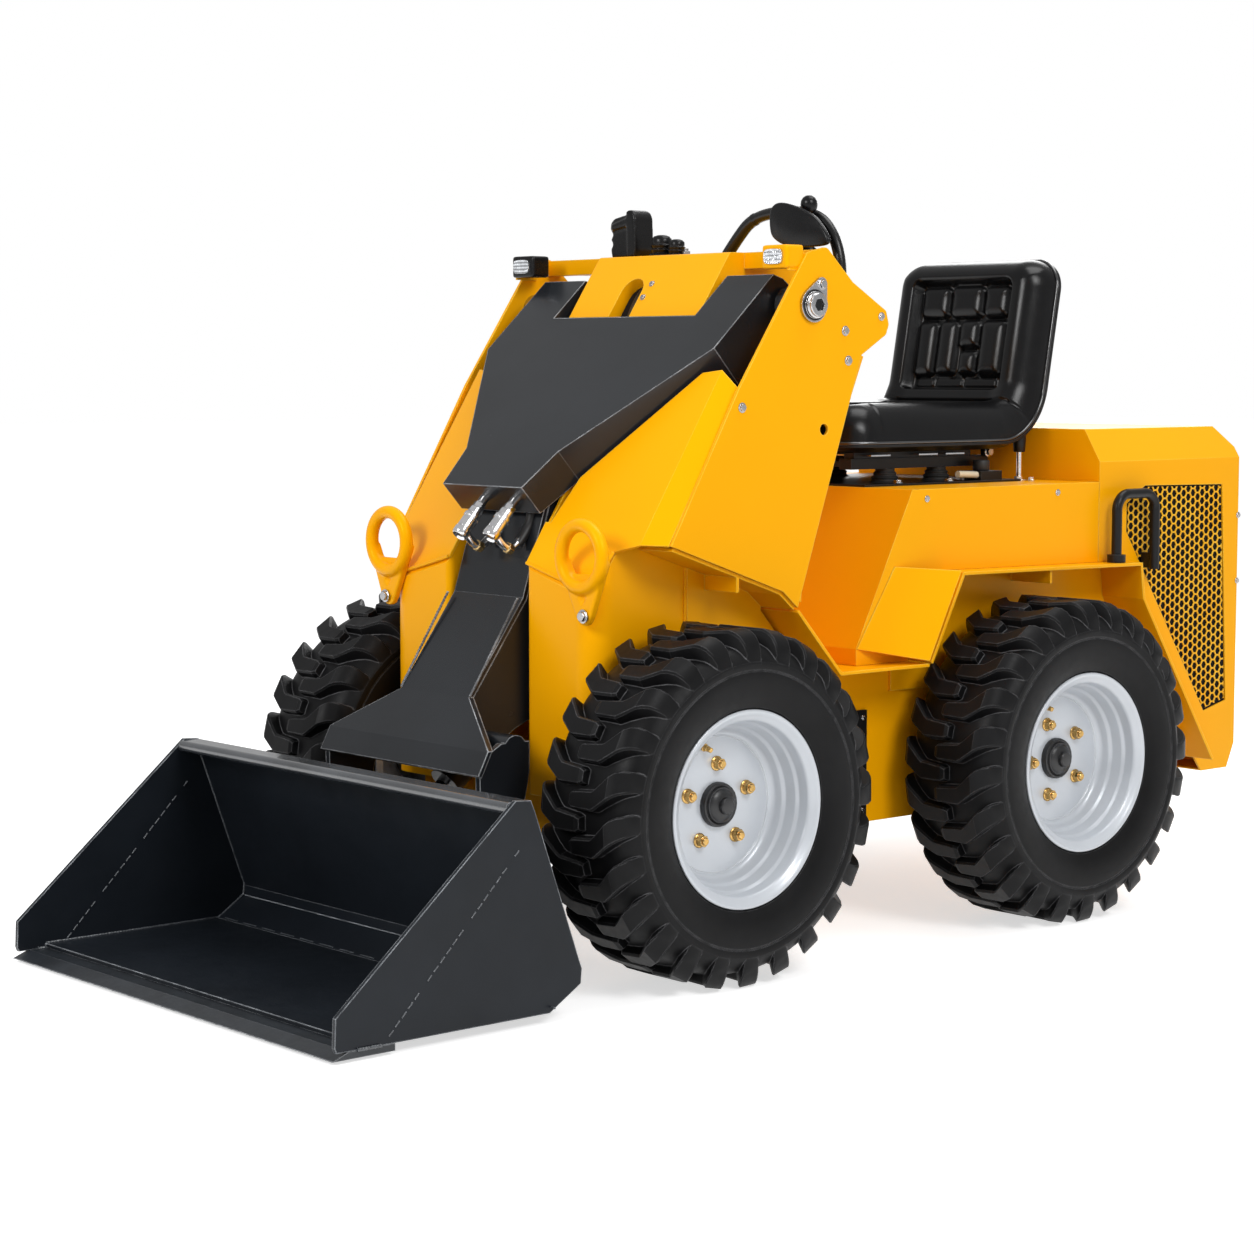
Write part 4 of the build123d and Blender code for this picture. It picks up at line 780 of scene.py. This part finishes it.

# Bucket: rolled and folded plate with flat sides and a round bar along the top, seam welded. Its
# satin blue-black paint is paler along the edges, partly scuffs and partly painted highlight.
bucket_satin = coat_of("bucket_satin", (0.0088, 0.0112, 0.0150), 0.34, shine=0.20, mottle=0.20, cloud_scale=5,
    grain=480, grain_depth=0.00006, edge=(0.55, 0.58, 0.62), edge_width=0.0028, swing=0.10)
dress(bucket_satin, "bucket_shell", "quick_attach")
# The round top bar: the bucket's paint made lighter, with a pale edge, as a painted reflection along it.
rail_gloss = coat_of("rail_gloss", (0.040, 0.044, 0.050), 0.22, shine=0.9, clear=0.6, mottle=0.35,
    cloud_scale=9, grain=420, grain_depth=0.00008, edge=(0.50, 0.52, 0.55), edge_width=0.0030, swing=0.10)
dress(rail_gloss, "bucket_bar")
# The cutting edge: a pale edge colour, partly scuffed steel and partly painted highlight.
worn_edge = coat_of("worn_edge", (0.013, 0.016, 0.020), 0.38, mottle=0.3, cloud_scale=16, grain=300,
    grain_depth=0.0001, edge=(0.45, 0.46, 0.48), edge_width=0.0024, swing=0.12)
dress(worn_edge, "cutting_edge")
seams = ([], [])
inner_face = 0.4815
foot_y = joint_at("bucket_tilt")[1]
shell_line = [(foot_y - 0.455, 0.0265), (foot_y - 0.0965, 0.0265), (foot_y - 0.043, 0.063),
    (foot_y - 0.0405, 0.084), (foot_y - 0.134, 0.342)]
for side in (1, -1):
    for (y0, z0), (y1, z1) in zip(shell_line, shell_line[1:]):
        bead(seams, (side * inner_face, y0, z0), (side * inner_face, y1, z1))
fold_y, fold_z = foot_y - 0.0955, 0.0275
for stitch in range(16):
    x = -0.46 + stitch * 0.0613
    bead(seams, (x, fold_y, fold_z), (x + 0.040, fold_y, fold_z), 0.0018)
for side, face in ((1, 0.4900), (-1, 0.4900), (1, 0.4820), (-1, 0.4820)):
    for dash in range(21):
        low = Vector((side * face, foot_y - 0.4120 + 0.0122 * dash, 0.0300 + 0.0124 * dash))
        if dash % 7 != 5:
            bead(seams, low, low + Vector((0, 0.0082, 0.0083)), 0.0013)
edge_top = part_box("cutting_edge")[1].z + 0.0008
for side, face in ((1, 0.4915), (-1, 0.4915), (1, 0.4805), (-1, 0.4805)):
    x = side * face
    bead(seams, (x, foot_y - 0.4710, edge_top), (x, foot_y - 0.4280, edge_top), 0.0030, 0.005)
# The weld beads: the bucket's dark paint made lighter, with pale edges, as a painted highlight.
seam_metal = coat_of("seam_metal", (0.060, 0.066, 0.074), 0.28, shine=0.6, clear=0.3, mottle=0.5,
    cloud_scale=90, grain=700, grain_depth=0.0002, edge=(0.40, 0.42, 0.45), edge_width=0.0010)
made("bucket_seams", seams, seam_metal, 60, body="bucket")
boom_seams = ([], [])
for side in (1, -1):
    bead(boom_seams, (side * 0.0995, -0.527, 0.6405), (side * 0.0995, -0.631, 0.478), 0.0022)
made("boom_seams", boom_seams, boom_gloss, 60, body="boom")

# Seat: one moulded foam pad, cushion and back together, in glossy black vinyl. A wide smooth
# bolster runs round an inset panel of small pads, piping closes the edge on a pressed black shell.
rear_axle_y = joint_at("wheel_rear_left_spin")[1]
run_flat, bend_radius, bend_turn, run_back = 0.419, 0.130, radians(79.6), 0.252
run_bend = bend_radius * bend_turn
seat_run = run_flat + run_bend + run_back
seat_z = 0.894


def on_seat(x, s, h):
    """The point at x across the seat, s along it from the front edge, and h off its shell."""
    if s < run_flat:
        y, z, turn = -0.319 + s, 0.0, 0.0
    else:
        turn = min(bend_turn, (s - run_flat) / bend_radius)
        y, z = 0.100 + bend_radius * sin(turn), bend_radius * (1 - cos(turn))
        more = max(0.0, s - run_flat - run_bend)
        y, z = y + more * cos(turn), z + more * sin(turn)
    return (x, rear_axle_y + y - sin(turn) * h, seat_z + z + cos(turn) * h)


def step_up(value, start, end):
    """Rises gently from 0 to 1 as the value goes from start to end."""
    t = min(1.0, max(0.0, (value - start) / (end - start)))
    return t * t * (3 - 2 * t)


def half_width(s):
    """Half the seat's width at s, with its rounded front and top corners."""
    full = 0.205 - 0.010 * step_up(s, 0.30, 0.62)
    for corner, gap in ((0.080, s), (0.060, seat_run - s)):
        if gap < corner:
            full -= corner - sqrt(max(0.0, corner * corner - (corner - gap) ** 2))
    return full


def inside(x, s, box, corner=0.012):
    """How far a place lies inside a rounded rectangle."""
    x0, x1, s0, s1 = box
    qx = abs(x - (x0 + x1) / 2) - ((x1 - x0) / 2 - corner)
    qs = abs(s - (s0 + s1) / 2) - ((s1 - s0) / 2 - corner)
    return corner - hypot(max(qx, 0), max(qs, 0)) - min(max(qx, qs), 0)


def dome(depth, over):
    """A quarter round that is full at over from the edge."""
    return sqrt(max(0.0, 1 - (1 - min(1.0, max(0.0, depth) / over)) ** 2))


insets = [(-0.122, 0.122, 0.112, 0.470), (-0.125, 0.125, seat_run - 0.282, seat_run - 0.052)]
pads = []
for b0, b1 in ((0.122, 0.262), (0.265, 0.414)):
    for x0 in (-0.117, -0.058, 0.001, 0.060):
        pads.append((x0, x0 + 0.057, b0, b1))
back_pads = ((-0.119, -0.040, 0.058, 0.123), (-0.038, 0.050, 0.057, 0.123), (0.052, 0.119, 0.058, 0.123),
    (-0.120, -0.064, 0.127, 0.244), (-0.062, -0.008, 0.126, 0.242), (-0.006, 0.050, 0.126, 0.186),
    (0.000, 0.050, 0.188, 0.242), (0.052, 0.120, 0.127, 0.243))
pads += [(x0, x1, seat_run - b1, seat_run - b0) for x0, x1, b0, b1 in back_pads]
strips = [(x0, x1, seat_run - 0.270, seat_run - 0.245)
    for x0, x1 in ((-0.108, -0.060), (-0.055, 0.018), (0.023, 0.108))]


def seat_height(x, s):
    """How thick the foam stands on its shell, with its bolster, pads and fold."""
    edge = min(half_width(s) - abs(x), s, seat_run - s)
    corner_box = (-half_width(seat_run / 2), half_width(seat_run / 2), 0.0, seat_run)
    edge = min(edge, inside(x, s, corner_box, 0.07))
    thick = 0.076 - 0.008 * step_up(s, 0.44, 0.62) - 0.006 * step_up(s, 0.10, 0.0)
    height = thick * dome(edge, 0.046 if s > 0.09 else 0.052)
    height -= 0.005 * step_up(edge, 0.045, 0.085)
    for box in insets:
        depth = inside(x, s, box)
        height -= 0.022 * step_up(depth, -0.012, 0.008)
    for box in pads:
        depth = inside(x, s, box, 0.014)
        if depth > 0:
            height += 0.0165 * dome(depth, 0.026)
    for box in strips:
        depth = inside(x, s, box, 0.004)
        if depth > 0:
            height += 0.005 * dome(depth, 0.005)
    fold_at = run_flat + run_bend * 0.52 + 0.05 * max(0.0, abs(x) - 0.13)
    fold = exp(-((s - fold_at) / 0.0055) ** 2)
    height -= min(height * 0.6, fold * (0.014 if abs(x) < 0.13 else 0.0065))
    wide = exp(-((s - fold_at) / 0.03) ** 2)
    height -= min(height * 0.5, wide * 0.006)
    return max(0.0, height)


foam = ([], [])
rows, columns = 250, 150
for row in range(rows + 1):
    t = row / rows
    s = seat_run * (t - 0.35 * sin(2 * pi * t) / (2 * pi))
    wide = half_width(s)
    for column in range(columns + 1):
        p = 2 * column / columns - 1
        x = wide * (0.72 * p + 0.28 * sin(pi / 2 * p))
        foam[0].append(on_seat(x, s, 0.0005 + seat_height(x, s)))
span = columns + 1
netted(foam, 0, rows + 1, span, columns_meet=False)
for row in range(rows):
    near, far = row * span, (row + 1) * span
    near_edge = range(near + columns, near, -1) if row == 0 else (near + columns,)
    far_edge = range(far, far + span) if row == rows - 1 else (far, far + columns)
    foam[1].append((near, *far_edge, *near_edge))
gloss_vinyl = coat_of("gloss_vinyl", (0.0032, 0.0032, 0.0036), 0.23, shine=0.26, mottle=0.2, cloud_scale=9,
    grain=1100, grain_depth=0.00012, swing=0.07)
seat_pad = made("seat_pad", foam, gloss_vinyl, 70, ("seat_cushion", "seat_back"))

piping = ([], [])
trace = [seat_run * (0.5 - 0.5 * cos(pi * step / 160)) for step in range(161)]
edge_line = [on_seat(half_width(s) + 0.0010, s, 0.0022) for s in trace]
edge_line += [on_seat(-half_width(s) - 0.0010, s, 0.0022) for s in trace[::-1]]
tube(piping, edge_line, 0.0032, 10, closed=True)
piping_vinyl = coat_of("piping_vinyl", (0.012, 0.012, 0.013), 0.16, shine=0.7, clear=0.8, mottle=0.1,
    grain=600)
made("seat_piping", piping, piping_vinyl, 80)

shell = ([], [])
rows, columns = 110, 28
for layer in range(2):
    for row in range(rows + 1):
        s = -0.004 + (seat_run + 0.008) * (0.5 - 0.5 * cos(pi * row / rows))
        held = min(seat_run, max(0.0, s))
        wide = half_width(held) + 0.0045
        for column in range(columns + 1):
            x = wide * sin(pi / 2 * (2 * column / columns - 1))
            rim = min(wide - abs(x), held + 0.004, seat_run - held + 0.004)
            h = -0.0008 if layer == 0 else -0.0055 - 0.0105 * step_up(rim, 0.004, 0.030)
            shell[0].append(on_seat(x, s, h))
span, layer_size = columns + 1, (rows + 1) * (columns + 1)
for layer in range(2):
    netted(shell, layer * layer_size, rows + 1, span, columns_meet=False)
for row in range(rows):
    for a in (row * span, row * span + columns):
        shell[1].append((a, a + span, a + span + layer_size, a + layer_size))
for column in range(columns):
    for a in (column, rows * span + column):
        shell[1].append((a, a + 1, a + 1 + layer_size, a + layer_size))
made("seat_shell", shell, satin_black, 50, ("seat_pan",))

# Seat mount: rubber cones between the deck and the slide rails, a plated plate, a pale lever tube
# with its collar, and a gas strut from a foot on the deck to the shell.
deck_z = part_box("seat_box")[1].z
mount_rubber = coat_of("mount_rubber", (0.015, 0.015, 0.015), 0.55, mottle=0.2, cloud_scale=20, grain=500,
    grain_depth=0.0001, edge=(0.05, 0.05, 0.05))
cones = ([], [])
for x in (-0.140, 0.140):
    for y in (rear_axle_y - 0.165, rear_axle_y - 0.023):
        stack(cones, (x, y, deck_z), (0, 0, 1), [(0, 31), (4, 31), (6, 27), (10, 24.5), (14, 26.2),
            (18, 21.5), (22, 22.5), (26, 18.5), (30, 19), (33, 16)])
stack(cones, (0.180, rear_axle_y + 0.062, deck_z + 0.022), (0, 0, 1),
    [(0, 15), (3, 16.5), (18, 16.5), (20.5, 15), (21, 10)])
made("rubber_mounts", cones, mount_rubber, 40)


def block(heap, x0, x1, y0, y1, z0, z1):
    """A square-cut plate over the deck; y runs from the rear axle and z from the deck."""
    y0, y1 = rear_axle_y + y0, rear_axle_y + y1
    slab(heap, [(x0, y0), (x1, y0), (x1, y1), (x0, y1)], lambda u, v, w: (u, v, w), deck_z + z0, deck_z + z1)


deck_plate = ([], [])
block(deck_plate, -0.205, 0.205, -0.284, 0.150, 0, 0.004)
block(deck_plate, 0.158, 0.202, 0.038, 0.098, 0.004, 0.022)
for x in (-0.140, 0.140):
    block(deck_plate, x - 0.013, x + 0.013, -0.262, 0.060, 0.0508, 0.0715)
made("seat_base_plate", deck_plate, satin_black, 30)
plates = ([], [])
for y in (-0.215, -0.085, -0.010):
    block(plates, -0.165, 0.178, y - 0.026, y + 0.026, 0.0555, 0.0585)
for y in (rear_axle_y - 0.165, rear_axle_y - 0.023):
    screw(plates, (0.1745, y, deck_z + 0.004), (0, 0, 1), 8.5)
stack(plates, (0.156, rear_axle_y + 0.096, deck_z + 0.058), (1, 0, 0),
    [(0, 10), (12, 10), (12.5, 7.5, 6), (19, 7.5, 6)])
made("slide_plates", plates, bright_zinc, 30)
lever = ([], [])
lever_line = ((-0.016, 0.017), (0.012, 0.0165), (0.040, 0.0145))
tube(lever, eased([(0.190, rear_axle_y + y, deck_z + z) for y, z in lever_line], 8), 0.0068, 16)
cream_sleeve = coat_of("cream_sleeve", (0.72, 0.66, 0.50), 0.35, mottle=0.1, cloud_scale=40, grain=600)
made("slide_lever", lever, cream_sleeve, 40)
strut = ([], [])
strut_low, strut_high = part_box("seat_strut")
strut_at = Vector(((strut_low.x + strut_high.x) / 2, (strut_low.y + strut_high.y) / 2, strut_low.z))
stack(strut, strut_at, (0, 0, 1), [(0, 16.5), (2.5, 16.5), (3, 9.5, 6), (8, 9.5, 6), (8.5, 5.6), (66, 5.6)])
stack(strut, strut_at + Vector((0.022, 0.012, 0.0)), (0, 0, 1), [(0, 7.5), (2, 7.5), (2.5, 6, 6), (7, 6, 6)])
made("seat_strut_rod", strut, polished_steel, 30, ("seat_strut",))
sleeve = ([], [])
stack(sleeve, strut_at + Vector((0, 0, 0.056)), (0, 0, 1), [(0, 10.5), (2, 11.5), (22, 13), (34, 13)])
made("seat_strut_sleeve", sleeve, satin_black, 30)

# Side grilles: the hood's own yellow sheet, punched with close rows of hexagons, and a black screen
# close behind it. The web is laid out strip by strip, so the sheet is one closed piece.
grille_outline = [(rear_axle_y + y, z) for y, z in (
    (0.322, 0.770), (0.322, 0.715), (0.576, 0.338), (0.648, 0.355), (0.624, 0.800), (0.378, 0.804))]


def clipped(shape, fence):
    """The part of a flat shape inside a convex fence that runs anticlockwise."""
    for (x0, y0), (x1, y1) in zip(fence, fence[1:] + fence[:1]):
        kept = []
        for (px, py), (qx, qy) in zip(shape, shape[1:] + shape[:1]):
            p_in = (x1 - x0) * (py - y0) - (y1 - y0) * (px - x0)
            q_in = (x1 - x0) * (qy - y0) - (y1 - y0) * (qx - x0)
            if p_in >= 0:
                kept.append((px, py))
            if (p_in >= 0) != (q_in >= 0):
                t = p_in / (p_in - q_in)
                kept.append((px + (qx - px) * t, py + (qy - py) * t))
        shape = kept
        if len(shape) < 3:
            return []
    return shape


cell = 0.0172
web = 0.0033
sheet_face, sheet_back = 0.3294, 0.3274
screen = ([], [])
points, faces = screen
known = {}
lows = [min(p[i] for p in grille_outline) for i in (0, 1)]
highs = [max(p[i] for p in grille_outline) for i in (0, 1)]
column_pitch = cell * sqrt(3) / 2
reach_out = cell / sqrt(3)
reach_in = (cell - web) / sqrt(3)
centre = [sum(p[i] for p in grille_outline) / len(grille_outline) for i in (0, 1)]
fence = [(centre[0] + (u - centre[0]) * 0.972, centre[1] + (v - centre[1]) * 0.984)
    for u, v in grille_outline]
for side in (1, -1):
    for i in range(-1, int((highs[0] - lows[0]) / column_pitch) + 2):
        for k in range(-1, int((highs[1] - lows[1]) / cell) + 2):
            y = lows[0] + i * column_pitch
            z = lows[1] + (k + 0.5 * (i % 2)) * cell
            for a in range(6):
                u, v = a * pi / 3, (a + 1) * pi / 3
                corners = ((reach_out, u), (reach_out, v), (reach_in, v), (reach_in, u))
                strip = [(y + r * cos(t), z + r * sin(t)) for r, t in corners]
                shape = [(round(p, 6), round(q, 6)) for p, q in clipped(strip, fence)]
                shape = [p for p, before in zip(shape, shape[-1:] + shape[:-1]) if p != before]
                if len(shape) < 3:
                    continue
                rings = []
                for x in (side * sheet_face, side * sheet_back):
                    for p in shape:
                        if (x, p) not in known:
                            known[x, p] = len(points)
                            points.append((x, *p))
                    rings.append([known[x, p] for p in shape])
                faces.append(tuple(rings[0]))
                faces.append(tuple(rings[1][::-1]))
                seams = ((-sin(u), cos(u), 0), (-sin(v), cos(v), 0),
                    (cos((u + v) / 2), sin((u + v) / 2), cell / 2))
                for j in range(len(shape)):
                    ends = shape[j - 1], shape[j]
                    off = [max(abs((p - y) * m + (q - z) * n - d) for p, q in ends) for m, n, d in seams]
                    if min(off) > 3e-6:
                        faces.append((rings[0][j], rings[0][j - 1], rings[1][j - 1], rings[1][j]))
made("grille_sheet", screen, yellow_coat, 20, ("side_grilles",))
backing = ([], [])
for side in (1, -1):
    slab(backing, grille_outline, lambda u, v, w: (side * w, u, v), 0.3215, 0.3262)
made("grille_backing", backing, screen_black, 30)

# Rear door: a flat hinged sheet with louvres pressed out of it in two columns for the engine's air,
# and a round black latch screwed on near its free edge.
door_skin = 1.1792
louvres = ([], [])
for column_x in (-0.115, 0.115):
    for row in range(8):
        top_z = 0.747 - row * 0.046
        first = len(louvres[0])
        for k in range(7):
            for i in range(13):
                u, v = i / 6 - 1, k / 6
                rise = 0.0085 * sin(pi * v / 2) * sqrt(1 - abs(u) ** 6) if k < 6 else 0
                louvres[0].append((column_x + u * 0.082, door_skin + rise, top_z - v * 0.024))
        netted(louvres, first, 7, 13, columns_meet=False)
        closed_behind(louvres, first, 7, 13, (0, -0.0008, 0))
made("door_louvres", louvres, yellow_coat, 40, body="rear_door")
latch = ([], [])
stack(latch, (-0.223, 1.181, 0.610), (0, 1, 0), [(0, 20), (3, 20), (4, 16), (10, 12)])
made("door_latch", latch, satin_black, 40, body="rear_door")
